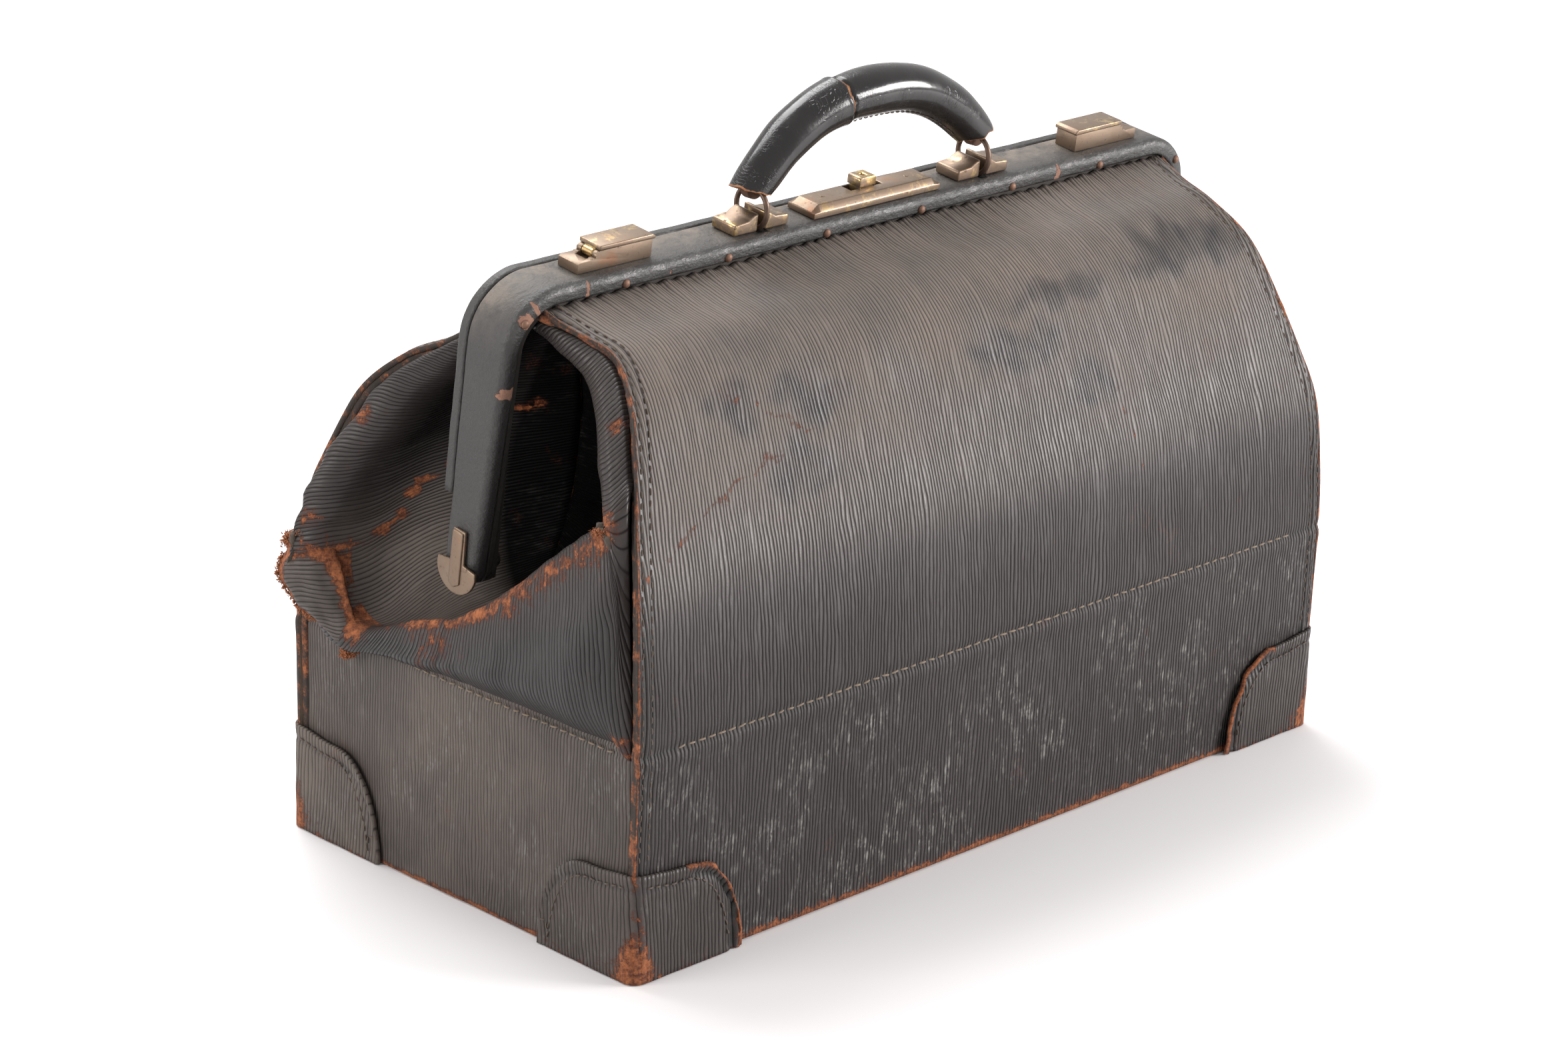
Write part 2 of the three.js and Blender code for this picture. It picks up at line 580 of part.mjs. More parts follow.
function makeHandle() {
  const taperEnds = (t) => GRIP_END_R + (GRIP_R - GRIP_END_R) * Math.sin(Math.PI * t) ** 0.8;
  const outside = bentBar(GRIP_END_X, taperEnds, 20, 16);
  const tunnel = bentBar(GRIP_END_X + 3, () => CORE_R + GAP, 20, 12);
  add(handle, 'handle_grip', cut(outside, tunnel), HANDLE_LEATHER);

  const filling = bentBar(CORE_END_X, () => CORE_R, 18, 12);
  const eyes = SIDES.map(([, side]) => {
    const from = CORE_END_X - 1.5;
    const a = new THREE.Vector2(side * from, archHeight(from));
    const b = new THREE.Vector2(side * RING_X, RING_R);
    const angle = Math.atan2(b.y - a.y, b.x - a.x);
    const shape = new THREE.Shape();
    shape.absarc(b.x, b.y, 5.2, angle - Math.PI / 2, angle + Math.PI / 2, false);
    shape.absarc(a.x, a.y, 4, angle + Math.PI / 2, angle + 1.5 * Math.PI, false);
    shape.closePath();
    return prism(shape, 'y', -EYE_HALF, EYE_HALF, 5);
  });
  const holes = SIDES.map(([, side]) => rod('y', 2.4, -4, 4, 16).translate(side * RING_X, 0, RING_R));
  add(handle, 'handle_core', cut(union(filling, ...eyes), ...holes), TAN);

  for (const [name, side] of SIDES) {
    const ring = new THREE.TorusGeometry(RING_R, WIRE_R, 8, 28);
    ring.rotateY(Math.PI / 2);
    add(handle, `${name}_handle_ring`, ring.translate(side * RING_X, 0, 0), STEEL);
  }
}

makeBottom();
makeWalls();
makeGussets();
makeLining();
makeWelts();
makeCornerPatches();
makeFrontFrame();
makeRearFrame();
makeHinges();
makeUpperLeather();
makeTacks();
makeLatches();
makeLock();
makeHandlePlates();
makeHandle();

export default bag;
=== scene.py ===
"""A worn straight-grain leather doctor bag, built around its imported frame. Lengths here are millimetres."""
import json
import math

import bmesh
import bpy
import numpy as np
from mathutils import Matrix, Vector, noise


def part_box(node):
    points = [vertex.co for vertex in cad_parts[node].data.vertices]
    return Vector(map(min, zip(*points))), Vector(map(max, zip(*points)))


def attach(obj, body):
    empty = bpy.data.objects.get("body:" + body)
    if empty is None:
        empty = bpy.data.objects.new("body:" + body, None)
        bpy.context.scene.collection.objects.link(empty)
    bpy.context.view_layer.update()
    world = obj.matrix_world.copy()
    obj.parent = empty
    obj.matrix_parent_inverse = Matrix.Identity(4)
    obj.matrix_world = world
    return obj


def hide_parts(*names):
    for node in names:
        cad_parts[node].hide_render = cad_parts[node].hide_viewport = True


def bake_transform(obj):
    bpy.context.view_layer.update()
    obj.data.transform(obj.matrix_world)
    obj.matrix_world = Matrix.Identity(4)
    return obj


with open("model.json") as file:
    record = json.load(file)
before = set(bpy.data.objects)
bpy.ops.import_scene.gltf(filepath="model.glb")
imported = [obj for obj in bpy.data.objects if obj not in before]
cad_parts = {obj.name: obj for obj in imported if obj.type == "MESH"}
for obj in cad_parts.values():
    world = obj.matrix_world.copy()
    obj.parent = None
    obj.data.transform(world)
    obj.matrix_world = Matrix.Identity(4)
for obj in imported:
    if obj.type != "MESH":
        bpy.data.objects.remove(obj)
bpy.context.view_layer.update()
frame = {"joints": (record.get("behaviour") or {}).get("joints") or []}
MM = 0.001
SIDES = (("left", -1), ("right", 1))
FACES = (("front", -1), ("rear", 1))

# ------------------------------------------------------------------ places taken from the frame
HALF_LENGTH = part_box("left_gusset_lower")[0].x / -MM
HALF_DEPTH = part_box("front_panel_lower")[0].y / -MM
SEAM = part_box("front_board")[1].z / MM + 3          # stitched row round the base
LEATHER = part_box("bottom_panel")[1].z / MM
joints = {j["name"]: j for j in frame["joints"]}
HINGE = [c / MM for c in joints["front_frame_hinge"]["pos_m"]]
LEVER_AXIS = joints["right_latch_hinge"]["axis"]
LEAN = math.atan2(LEVER_AXIS[2], LEVER_AXIS[1])
RING = [c / MM for c in joints["ring_swing"]["pos_m"]]
EYE = [c / MM for c in joints["handle_swing"]["pos_m"]]
RING_R = EYE[2] - RING[2]
FRAME_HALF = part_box("front_frame_cover")[1].x / MM


def middle(node):
    low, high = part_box(node)
    return (low + high) / 2 / MM


FITTINGS_X = middle("lock_plate").x
RING_X = (middle("right_handle_ring").x - middle("left_handle_ring").x) / 2
FRAME_TOP = 125.0                               # above the hinge line, up along the frame's legs
FRONT_EDGE, SPLIT, REAR_EDGE = -15.1, 8.9, 14.4         # across its top: both edges and the parting line


def lean(x, v, w):
    """A point given along the bag, across the frame and up from the hinge line, in the row frame."""
    c, s = math.cos(LEAN), math.sin(LEAN)
    return (x, HINGE[1] + v * c - w * s, HINGE[2] + v * s + w * c)


# ------------------------------------------------------------------ mesh helpers
def noise3(x, y, z, size):
    return noise.noise(Vector((x / size, y / size, z / size)))


def unit(value):
    return min(1, max(0, value))


def falloff(distance, width):
    """1 at no distance, falling evenly to 0 at the width."""
    return max(0.0, 1.0 - distance / width)


def hump(distance, width):
    """A bell curve, 1 at its middle."""
    return math.exp(-(distance / width) ** 2)


def spot(a, wide, b, tall):
    """A bell curve over two directions."""
    return math.exp(-(a / wide) ** 2 - (b / tall) ** 2)


def run_of(path):
    """Distance along a path at each of its points."""
    return np.concatenate([[0], np.cumsum(np.linalg.norm(np.diff(path, axis=0), axis=1))])


def catmull(a, b, c, d, t):
    square, cube = 2 * a - 5 * b + 4 * c - d, 3 * b - a - 3 * c + d
    return 0.5 * (2 * b + (c - a) * t + square * t ** 2 + cube * t ** 3)


def blank_masks(shape, *names):
    return {name: np.zeros(shape) for name in names}


def smooth_curve(points, count):
    """Points evenly spaced along a Catmull-Rom curve through the given ones."""
    p = np.array(points, float)
    p = np.vstack([2 * p[0] - p[1], p, 2 * p[-1] - p[-2]])
    t = np.linspace(0, 1, 24, endpoint=False)[:, None]
    dense = [catmull(*p[k - 1:k + 3], t) for k in range(1, len(p) - 2)]
    dense = np.vstack(dense + [p[-2][None]])
    run = run_of(dense)
    at = np.linspace(0, run[-1], count)
    return np.column_stack([np.interp(at, run, dense[:, i]) for i in range(dense.shape[1])])


def through(stations, count):
    """Catmull-Rom through equally spaced stations, keeping each one at its own share of the way."""
    p = np.array(stations, float)
    p = np.concatenate([[2 * p[0] - p[1]], p, [2 * p[-1] - p[-2]]])
    out = []
    for i in range(count):
        s = i / (count - 1) * (len(p) - 3)
        k = min(int(s), len(p) - 4)
        out.append(catmull(*p[k:k + 4], s - k))
    return np.array(out)


def mesh_object(name, points, faces, uv=None, masks=None):
    """A smooth-shaded mesh from points in millimetres; masks are per-vertex numbers that materials read."""
    mesh = bpy.data.meshes.new(name)
    mesh.from_pydata([tuple(p) for p in np.array(points, float) * MM], [], faces)
    mesh.update()
    if uv is not None:
        layer = mesh.uv_layers.new(name="UVMap")
        corner = np.empty(len(mesh.loops), np.int32)
        mesh.loops.foreach_get("vertex_index", corner)
        layer.data.foreach_set("uv", (np.array(uv, np.float32) * MM)[corner].ravel())
    for key, values in (masks or {}).items():
        attribute = mesh.attributes.new(key, "FLOAT", "POINT")
        attribute.data.foreach_set("value", np.array(values, np.float32).ravel())
    mesh.shade_smooth()
    obj = bpy.data.objects.new(name, mesh)
    bpy.context.scene.collection.objects.link(obj)
    return obj


def grid_faces(rows, columns, wrap=False):
    faces = []
    for i in range(rows - 1):
        for j in range(columns if wrap else columns - 1):
            k = (j + 1) % columns
            faces.append((i * columns + j, i * columns + k, (i + 1) * columns + k, (i + 1) * columns + j))
    return faces


def grid_normals(grid, out):
    """Unit normals of a grid, turned to the side that out points to."""
    normals = np.cross(np.gradient(grid, axis=0), np.gradient(grid, axis=1))
    normals /= np.maximum(np.linalg.norm(normals, axis=2, keepdims=True), 1e-9)
    return normals if (normals @ np.array(out, float)).mean() > 0 else -normals


def grid_object(name, grid, uv=None, masks=None, out=None):
    """A sheet over a grid of points, with its faces turned to the side that out points to."""
    faces = grid_faces(*grid.shape[:2])
    if out is not None:
        normals = np.cross(np.gradient(grid, axis=1), np.gradient(grid, axis=0))
        if (normals @ np.array(out, float)).mean() < 0:
            faces = [f[::-1] for f in faces]
    flat = {k: np.array(v).reshape(-1) for k, v in (masks or {}).items()}
    return mesh_object(name, grid.reshape(-1, 3), faces, None if uv is None else uv.reshape(-1, 2), flat)


def modify(obj, kind, **settings):
    """Adds a modifier and applies it."""
    modifier = obj.modifiers.new(kind, kind)
    for key, value in settings.items():
        setattr(modifier, key, value)
    bpy.context.view_layer.update()
    deps = bpy.context.evaluated_depsgraph_get()
    mesh = bpy.data.meshes.new_from_object(obj.evaluated_get(deps), depsgraph=deps)
    obj.modifiers.clear()
    obj.data = mesh
    return obj


def thicken(obj, thickness):
    """Gives a sheet its thickness; its back and its cut edge take the next materials, if it has them."""
    return modify(obj, "SOLIDIFY", thickness=thickness * MM, offset=-1, use_even_offset=False,
                  use_quality_normals=True, material_offset=1, material_offset_rim=2)


def bevelled(obj, width, segments, degrees=30):
    return modify(obj, "BEVEL", width=width * MM, segments=segments, limit_method="ANGLE",
                  angle_limit=math.radians(degrees))


def paint(obj, *materials):
    for material in materials:
        obj.data.materials.append(material)
    return obj


def dress(obj, body, slot, *materials, replaces=()):
    """Gives a piece its materials and its body, and hides the frame nodes that it stands for. The slot is not
    used.
    """
    paint(obj, *materials)
    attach(obj, body)
    if replaces:
        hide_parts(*replaces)
    return obj


def join(name, objects):
    """One object from several, keeping their materials."""
    with bpy.context.temp_override(active_object=objects[0], selected_editable_objects=objects,
                                   selected_objects=objects):
        bpy.ops.object.join()
    objects[0].name = name
    objects[0].data.name = name
    return objects[0]


def tube(name, rings, masks=None):
    """A closed solid through rings of points, with flat ends."""
    grid = np.array(rings)
    rows, columns = grid.shape[:2]
    faces = grid_faces(rows, columns, wrap=True)
    faces.append(tuple(range(columns))[::-1])
    faces.append(tuple(range((rows - 1) * columns, rows * columns)))
    obj = mesh_object(name, grid.reshape(-1, 3), faces, masks=masks)
    outward(obj)
    return obj


def sweep(name, centres, frames, sections):
    """A tube: each section's (a, b) points are laid along that station's two directions."""
    rings = []
    for centre, (a, b), section in zip(centres, frames, sections):
        section = np.array(section)
        rings.append(np.array(centre) + section[:, :1] * np.array(a) + section[:, 1:] * np.array(b))
    return tube(name, rings)


def circle(radius, count=16):
    angles = np.arange(count) * 2 * math.pi / count
    return np.column_stack([radius * np.cos(angles), radius * np.sin(angles)])


def extrude(name, ends):
    """A solid between two outlines that have the same number of points."""
    n = len(ends) // 2
    faces = [tuple(range(n)), tuple(range(n, 2 * n))[::-1]]
    faces += [(i, i + n, (i + 1) % n + n, (i + 1) % n) for i in range(n)]
    obj = mesh_object(name, ends, faces)
    outward(obj)
    return obj


def prism(name, outline, axis, low, high, bevel=0):
    """An outline extruded along x or v in the frame's leaning directions, with rounded edges."""
    ends = []
    for depth in (low, high):
        for a, b in outline:
            ends.append(lean(a, depth, b) if axis == "v" else lean(depth, a, b))
    obj = extrude(name, ends)
    return bevelled(obj, bevel, 3, 25) if bevel else obj


def outward(obj):
    """Turns a closed solid's faces outwards."""
    bm = bmesh.new()
    bm.from_mesh(obj.data)
    bmesh.ops.recalc_face_normals(bm, faces=bm.faces)
    bm.to_mesh(obj.data)
    bm.free()


def cut(obj, tool):
    """Takes the tool's shape out of a solid and removes the tool."""
    modify(obj, "BOOLEAN", object=tool, operation="DIFFERENCE", solver="EXACT")
    bpy.data.objects.remove(tool)
    return obj


def flat_edges(obj, degrees=35):
    """Smooth shading except over sharp edges."""
    obj.data.shade_smooth()
    obj.data.set_sharp_from_angle(angle=math.radians(degrees))
    return obj


# ------------------------------------------------------------------ material helpers
class Graph:
    """A material's node tree, with short names for the nodes that these materials use."""

    def __init__(self, name):
        self.material = bpy.data.materials.new(name)
        self.material.use_nodes = True
        self.tree = self.material.node_tree
        self.tree.nodes.clear()
        self.out = self.tree.nodes.new("ShaderNodeOutputMaterial")

    def node(self, kind, inputs=None, **settings):
        node = self.tree.nodes.new(kind)
        for key, value in settings.items():
            setattr(node, key, value)
        for key, value in (inputs or {}).items():
            self.put(node.inputs[key], value)
        return node

    def put(self, socket, value):
        if isinstance(value, bpy.types.NodeSocket):
            self.tree.links.new(value, socket)
        elif isinstance(value, (tuple, list)) and len(value) == 3 and socket.type == "RGBA":
            socket.default_value = (*value, 1)
        else:
            socket.default_value = value

    def math(self, operation, a, b=0.0, clamp=False):
        return self.node("ShaderNodeMath", {0: a, 1: b}, operation=operation, use_clamp=clamp).outputs[0]

    def plus(self, a, b, clamp=False):
        return self.math("ADD", a, b, clamp)

    def minus(self, a, b):
        return self.math("SUBTRACT", a, b)

    def times(self, a, b, clamp=False):
        return self.math("MULTIPLY", a, b, clamp)

    def place(self):
        return self.node("ShaderNodeTexCoord").outputs["Object"]

    def flat(self):
        return self.node("ShaderNodeTexCoord").outputs["UV"]

    def scaled(self, vector, x, y, z=1.0):
        return self.node("ShaderNodeVectorMath", {0: vector, 1: (x, y, z)}, operation="MULTIPLY").outputs[0]

    def noise(self, vector, scale, detail, roughness):
        return self.node("ShaderNodeTexNoise", {"Vector": vector, "Scale": scale, "Detail": detail,
                                                "Roughness": roughness}).outputs[0]

    def mask(self, name):
        return self.node("ShaderNodeAttribute", attribute_name=name).outputs["Fac"]

    def band(self, value, low, high, top=1.0):
        """Rises smoothly from 0 at low to top at high; low may be the larger one."""
        return self.node("ShaderNodeMapRange", {"Value": value, "From Min": low, "From Max": high,
                                                "To Min": 0.0, "To Max": top},
                         interpolation_type="SMOOTHSTEP").outputs[0]

    def mix(self, share, a, b):
        node = self.node("ShaderNodeMix", data_type="RGBA")
        self.put(node.inputs[0], share)
        self.put(node.inputs[6], a)
        self.put(node.inputs[7], b)
        return node.outputs[2]

    def blend(self, share, a, b):
        node = self.node("ShaderNodeMix", data_type="FLOAT")
        self.put(node.inputs[0], share)
        self.put(node.inputs[2], a)
        self.put(node.inputs[3], b)
        return node.outputs[0]

    def finish(self, colour, roughness, height=None, distance=0.2, **more):
        inputs = {"Base Color": colour, "Roughness": roughness, **more}
        shader = self.node("ShaderNodeBsdfPrincipled", inputs)
        if height is not None:
            relief = {"Height": height, "Strength": 1.0, "Distance": distance * MM}
            bump = self.node("ShaderNodeBump", relief)
            self.tree.links.new(bump.outputs[0], shader.inputs["Normal"])
        self.tree.links.new(shader.outputs[0], self.out.inputs[0])
        return self.material


# ------------------------------------------------------------------ materials
RAW_DARK, RAW_LIGHT = (0.055, 0.016, 0.008), (0.31, 0.105, 0.040)
BLACK_TINT = (0.0225, 0.0182, 0.0172)           # old black leather, and what lies on it or shows through
# painted shade: the first tint darkens the grain's grooves, the second the inside of the end pockets
GROOVE_SHADE_TINT, POCKET_SHADE_TINT = (0.0055, 0.0045, 0.0041), (0.0022, 0.0020, 0.0019)
# the stain tint paints real stains, and also painted shade under the gusset rolls and in the front patches'
# torn gashes
DUST_TINT, STAIN_AND_SHADE_TINT, SCUFF_TINT = (0.125, 0.100, 0.083), (0.0105, 0.010, 0.0115), (0.165, 0.160, 0.152)
RED_TINT, HALO_TINT = (0.085, 0.024, 0.013), (0.060, 0.017, 0.009)


def raw_colour(g, place):
    """Torn leather fibre, red-brown to orange."""
    return g.mix(g.band(g.noise(place, 330, 6, 0.8), 0.32, 0.68), RAW_DARK, RAW_LIGHT)


def straight_grain(g, uv, pitch):
    """Long wavering ridges, one each pitch millimetres, and how deep the grooves are pressed."""
    split = g.node("ShaderNodeSeparateXYZ", {0: uv})
    wander = g.noise(g.scaled(uv, 42, 13), 1.0, 2, 0.5)
    waver = g.noise(g.scaled(uv, 230, 60), 1.0, 2, 0.5)
    across = g.times(split.outputs[0], 1 / (pitch * MM))
    phase = g.plus(g.plus(across, g.times(wander, 3.4)), g.times(waver, 0.75))
    ridge = g.math("POWER", g.math("ABSOLUTE", g.math("SINE", g.times(phase, math.pi))), 0.8)
    depth = g.band(g.noise(g.scaled(uv, 240, 42), 1.0, 2, 0.5), 0.22, 0.48)
    return ridge, depth


def worn(g, ragged, amount):
    """The wear mask with a ragged outline."""
    return g.plus(g.mask("wear"), g.times(g.minus(ragged, 0.5), amount))


def grain_leather(name, dust=0.0, pitch=1.95, relief=0.52):
    """Straight-grain embossed leather with rubbed tops, dust, stains, scuffs and raw edges, and painted shade
    in its grooves, under the gusset rolls and inside the end pockets.
    """
    g = Graph(name)
    place, uv = g.place(), g.flat()
    ridge, depth = straight_grain(g, uv, pitch)
    fine = g.noise(place, 1500, 3, 0.6)
    height = g.blend(depth, g.plus(g.times(ridge, 0.45), 0.5), ridge)
    height = g.plus(height, g.times(fine, 0.14))

    patchy = g.noise(place, 16, 4, 0.6)
    # painted shade in the grain's grooves: darker colour and less reflection there
    groove_shade = g.times(g.band(ridge, 0.55, 0.10), g.plus(g.times(depth, 0.6), 0.4))
    colour = g.mix(g.band(patchy, 0.35, 0.75, 0.45), BLACK_TINT, tuple(c * 0.55 for c in BLACK_TINT))
    tops = g.band(ridge, 0.6, 0.95)
    cloud = g.band(g.noise(place, 26, 5, 0.65), 0.3, 0.75)
    dusty = g.times(g.plus(g.mask("dust"), dust), g.plus(g.times(cloud, 0.5), 0.5), True)
    # the stain mask carries real stains and painted shade; the deep mask is painted shade inside the end
    # pockets
    stain_and_shade, deep = g.mask("stain_and_shade"), g.mask("deep")
    colour = g.mix(dusty, colour, DUST_TINT)
    colour = g.mix(g.times(stain_and_shade, 0.75), colour, STAIN_AND_SHADE_TINT)
    colour = g.mix(g.times(groove_shade, 0.72), colour, GROOVE_SHADE_TINT)
    # painted shade: near black inside the end pockets
    colour = g.mix(deep, colour, POCKET_SHADE_TINT)

    speck = g.band(g.noise(g.scaled(uv, 270, 95), 1.0, 5, 0.75), 0.49, 0.66)
    field = g.band(g.noise(g.scaled(uv, 26, 20), 1.0, 4, 0.7), 0.41, 0.62)
    rub = g.times(g.times(speck, field), g.blend(tops, 0.25, 1.0))
    colour = g.mix(g.times(rub, g.plus(g.mask("scuff"), 0.08), True), colour, SCUFF_TINT)
    red = g.times(g.band(g.noise(place, 34, 6, 0.75), 0.60, 0.72), g.band(fine, 0.45, 0.6))
    colour = g.mix(g.times(red, 0.6), colour, RED_TINT)

    streak = g.noise(g.scaled(uv, 500, 120), 1.0, 3, 0.7)
    wear = g.plus(worn(g, g.noise(place, 190, 7, 0.8), 1.5), g.times(g.minus(streak, 0.5), 0.5))
    halo, wear = g.band(wear, 0.36, 0.62), g.band(wear, 0.52, 0.66)
    colour = g.mix(g.times(halo, 0.75), colour, HALO_TINT)
    colour = g.mix(g.times(wear, 0.92), colour, raw_colour(g, place))

    rough = g.blend(tops, 0.58, 0.36)
    rough = g.blend(g.band(patchy, 0.3, 0.8), rough, g.plus(rough, 0.08))
    rough = g.blend(dusty, rough, 0.74)
    rough = g.blend(g.times(stain_and_shade, 0.7), rough, 0.42)
    rough = g.blend(halo, rough, 0.9)
    height = g.blend(g.times(wear, 0.6), height, g.noise(place, 900, 4, 0.8))
    gloss = g.times(g.blend(groove_shade, 0.80, 0.10), g.blend(g.mask("polish"), 0.46, 1.0))
    # painted shade: almost no reflection inside the end pockets
    gloss = g.blend(deep, g.blend(dusty, gloss, 0.4), 0.03)
    return g.finish(colour, rough, height, distance=relief, **{"Specular IOR Level": gloss})


def raw_edge(name, share):
    """Cut or torn edge: fibrous, partly black with old dressing, partly orange."""
    g = Graph(name)
    place = g.place()
    patch = g.band(g.noise(place, 95, 7, 0.8), 0.78 - share * 0.6, 0.9 - share * 0.6)
    colour = g.mix(patch, (0.028, 0.021, 0.017), raw_colour(g, place))
    return g.finish(colour, 0.93, g.noise(place, 1100, 4, 0.8), distance=0.35)


def suede(name, colour):
    g = Graph(name)
    place = g.place()
    tone = g.mix(g.noise(place, 60, 5, 0.6), tuple(c * 0.55 for c in colour), colour)
    return g.finish(tone, 0.95, g.noise(place, 1300, 3, 0.7), distance=0.15)


def cloth(name, colour):
    """Plain weave, about 0.6 mm a thread."""
    g = Graph(name)
    place = g.place()
    split = g.node("ShaderNodeSeparateXYZ", {0: place})
    k = math.pi / (0.6 * MM)
    waves = [g.math("SINE", g.times(split.outputs[i], k)) for i in range(3)]
    weave = g.times(g.plus(waves[0], waves[1]), g.plus(waves[2], 1.3))
    weave = g.plus(g.times(weave, 0.25), 0.5)
    tone = g.mix(weave, tuple(c * 0.6 for c in colour), colour)
    tone = g.mix(g.band(g.noise(place, 22, 5, 0.65), 0.5, 0.8, 0.6), tone, tuple(c * 0.35 for c in colour))
    return g.finish(tone, 0.95, weave, distance=0.12)


def frame_leather():
    """Smooth pebbled black leather on the frame; dust on top, shine, bare spots and a painted highlight in
    light grey patches on its rounded edges.
    """
    g = Graph("frame_leather")
    place = g.place()
    pebble = g.noise(place, 520, 3, 0.65)
    crease = g.noise(g.scaled(place, 0.45, 1, 1), 230, 5, 0.75)
    colour = g.mix(g.noise(place, 40, 4, 0.6), (0.0160, 0.0152, 0.0148), (0.0275, 0.0258, 0.0248))
    dusty = g.times(g.mask("dust"), g.band(g.noise(place, 42, 5, 0.72), 0.30, 0.68), True)
    colour = g.mix(dusty, colour, (0.230, 0.190, 0.155))
    # painted highlight: light grey in patches along the rounded front edge, mostly on the top bar
    rubbed = g.noise(g.scaled(place, 0.4, 1, 1), 330, 5, 0.8)
    edge = g.times(g.mask("edge"), g.band(rubbed, 0.46, 0.60))
    colour = g.mix(g.times(edge, 0.40), colour, (0.092, 0.087, 0.084))
    ragged = g.noise(place, 150, 5, 0.75)
    bare = g.band(worn(g, ragged, 1.2), 0.56, 0.62)
    colour = g.mix(bare, colour, g.mix(ragged, (0.11, 0.050, 0.032), (0.30, 0.165, 0.115)))
    rough = g.blend(dusty, g.blend(edge, 0.52, 0.36), 0.85)
    height = g.plus(g.times(pebble, 0.5), g.times(crease, 0.8))
    height = g.minus(height, g.times(bare, 0.6))
    return g.finish(colour, g.blend(bare, rough, 0.9), height, distance=0.75, **{"Specular IOR Level": 0.5})


def handle_leather():
    """Glossy black rolled leather with hair-fine cracks across it."""
    g = Graph("handle_leather")
    place, uv = g.place(), g.flat()
    cracks = g.node("ShaderNodeTexVoronoi", {"Vector": g.scaled(uv, 900, 330), "Scale": 1.0},
                    feature="DISTANCE_TO_EDGE").outputs[0]
    line = g.times(g.band(cracks, 0.07, 0.0), g.band(g.noise(place, 60, 4, 0.6), 0.45, 0.7))
    colour = g.mix(g.noise(place, 45, 4, 0.6), (0.0045, 0.0042, 0.0042), (0.011, 0.0098, 0.0092))
    ragged = g.noise(place, 260, 5, 0.75)
    wear = g.band(worn(g, ragged, 0.8), 0.5, 0.6)
    colour = g.mix(wear, colour, g.mix(ragged, (0.16, 0.06, 0.025), (0.42, 0.20, 0.09)))
    rough = g.blend(g.band(g.noise(place, 90, 5, 0.7), 0.35, 0.8), 0.17, 0.36)
    height = g.minus(g.times(g.noise(place, 300, 3, 0.6), 0.5),
                    g.times(line, 0.8))
    return g.finish(colour, g.blend(wear, rough, 0.9), height, distance=0.16,
                    **{"Specular IOR Level": 0.3, "Coat Weight": 0.22, "Coat Roughness": 0.10})


def brass(name, bright):
    """Old brass: brown-grey patina, yellow where hands and edges rubbed it, dark spots."""
    g = Graph(name)
    place = g.place()
    patch = g.noise(place, 130, 6, 0.7)
    shine = g.band(patch, 0.72 - 0.35 * bright, 0.86 - 0.35 * bright)
    colour = g.mix(shine, (0.200, 0.148, 0.106), (0.50, 0.355, 0.165))
    dirt = g.band(g.noise(place, 310, 5, 0.75), 0.56, 0.72)
    haze = g.band(g.noise(place, 48, 4, 0.6), 0.35, 0.7, 0.55)
    colour = g.mix(haze, colour, (0.150, 0.098, 0.068))
    colour = g.mix(g.times(dirt, 0.6), colour, (0.060, 0.040, 0.027))
    rust = g.band(g.noise(place, 85, 4, 0.6), 0.6, 0.72, 0.4)
    colour = g.mix(rust, colour, (0.24, 0.10, 0.045))
    metal = g.blend(shine, 0.80, 0.95)
    rough = g.blend(shine, g.blend(haze, 0.36, 0.52), 0.28)
    height = g.plus(g.noise(place, 520, 4, 0.6), g.times(dirt, -0.4))
    return g.finish(colour, g.blend(dirt, rough, 0.75), height, distance=0.05, Metallic=metal)


def old_metal(name, dark, light, metal=0.8, rough=0.45):
    g = Graph(name)
    place = g.place()
    patch = g.noise(place, 240, 5, 0.7)
    colour = g.mix(patch, dark, light)
    return g.finish(colour, g.blend(patch, rough + 0.2, rough), g.noise(place, 700, 3, 0.6),
                    distance=0.05, Metallic=metal)


def thread(name, colour):
    g = Graph(name)
    place = g.place()
    tone = g.mix(g.noise(place, 500, 3, 0.6), tuple(c * 0.45 for c in colour), colour)
    return g.finish(tone, 0.9, g.noise(place, 2500, 2, 0.6), distance=0.1)


def board():
    g = Graph("board")
    place = g.place()
    layers = g.noise(g.scaled(place, 1, 1, 5), 180, 5, 0.7)
    tone = g.mix(layers, (0.15, 0.105, 0.065), (0.30, 0.225, 0.15))
    return g.finish(tone, 0.93, g.noise(place, 900, 3, 0.7), distance=0.12)


BODY = grain_leather("body_leather")
GUSSET = grain_leather("gusset_leather", dust=0.06, pitch=1.75, relief=0.36)
RAW = raw_edge("raw_edge", share=0.65)
RAW_DARK_EDGE = raw_edge("welt_edge", share=0.50)
RAW_RIM = raw_edge("rim_edge", share=0.50)
RAW_FIBRE = suede("raw_fibre", (0.33, 0.115, 0.045))
INSIDE = suede("leather_inside", (0.075, 0.058, 0.045))
LINING = cloth("lining_cloth", (0.16, 0.115, 0.08))
FRAME_SKIN = frame_leather()
GRIP = handle_leather()
BRASS = brass("brass", bright=0.5)
BRASS_RUBBED = brass("brass_worn", bright=0.7)
BRASS_BRIGHT = brass("brass_rubbed", bright=0.9)
BRASS_DULL = brass("brass_dull", bright=0.25)
STEEL = old_metal("steel", (0.07, 0.06, 0.052), (0.20, 0.18, 0.16))
DARK_STEEL = old_metal("dark_steel", (0.020, 0.018, 0.016), (0.065, 0.058, 0.052), metal=0.6, rough=0.5)
WIRE = old_metal("ring_wire", (0.05, 0.032, 0.024), (0.17, 0.115, 0.085), metal=0.75, rough=0.35)
TACK = old_metal("tack_metal", (0.085, 0.045, 0.03), (0.23, 0.125, 0.08), metal=0.5, rough=0.5)
THREAD = thread("thread", (0.215, 0.165, 0.120))
THREAD_DARK = thread("thread_dark", (0.105, 0.078, 0.058))
BOARD = board()
CORE_LEATHER = suede("core_leather", (0.085, 0.040, 0.022))


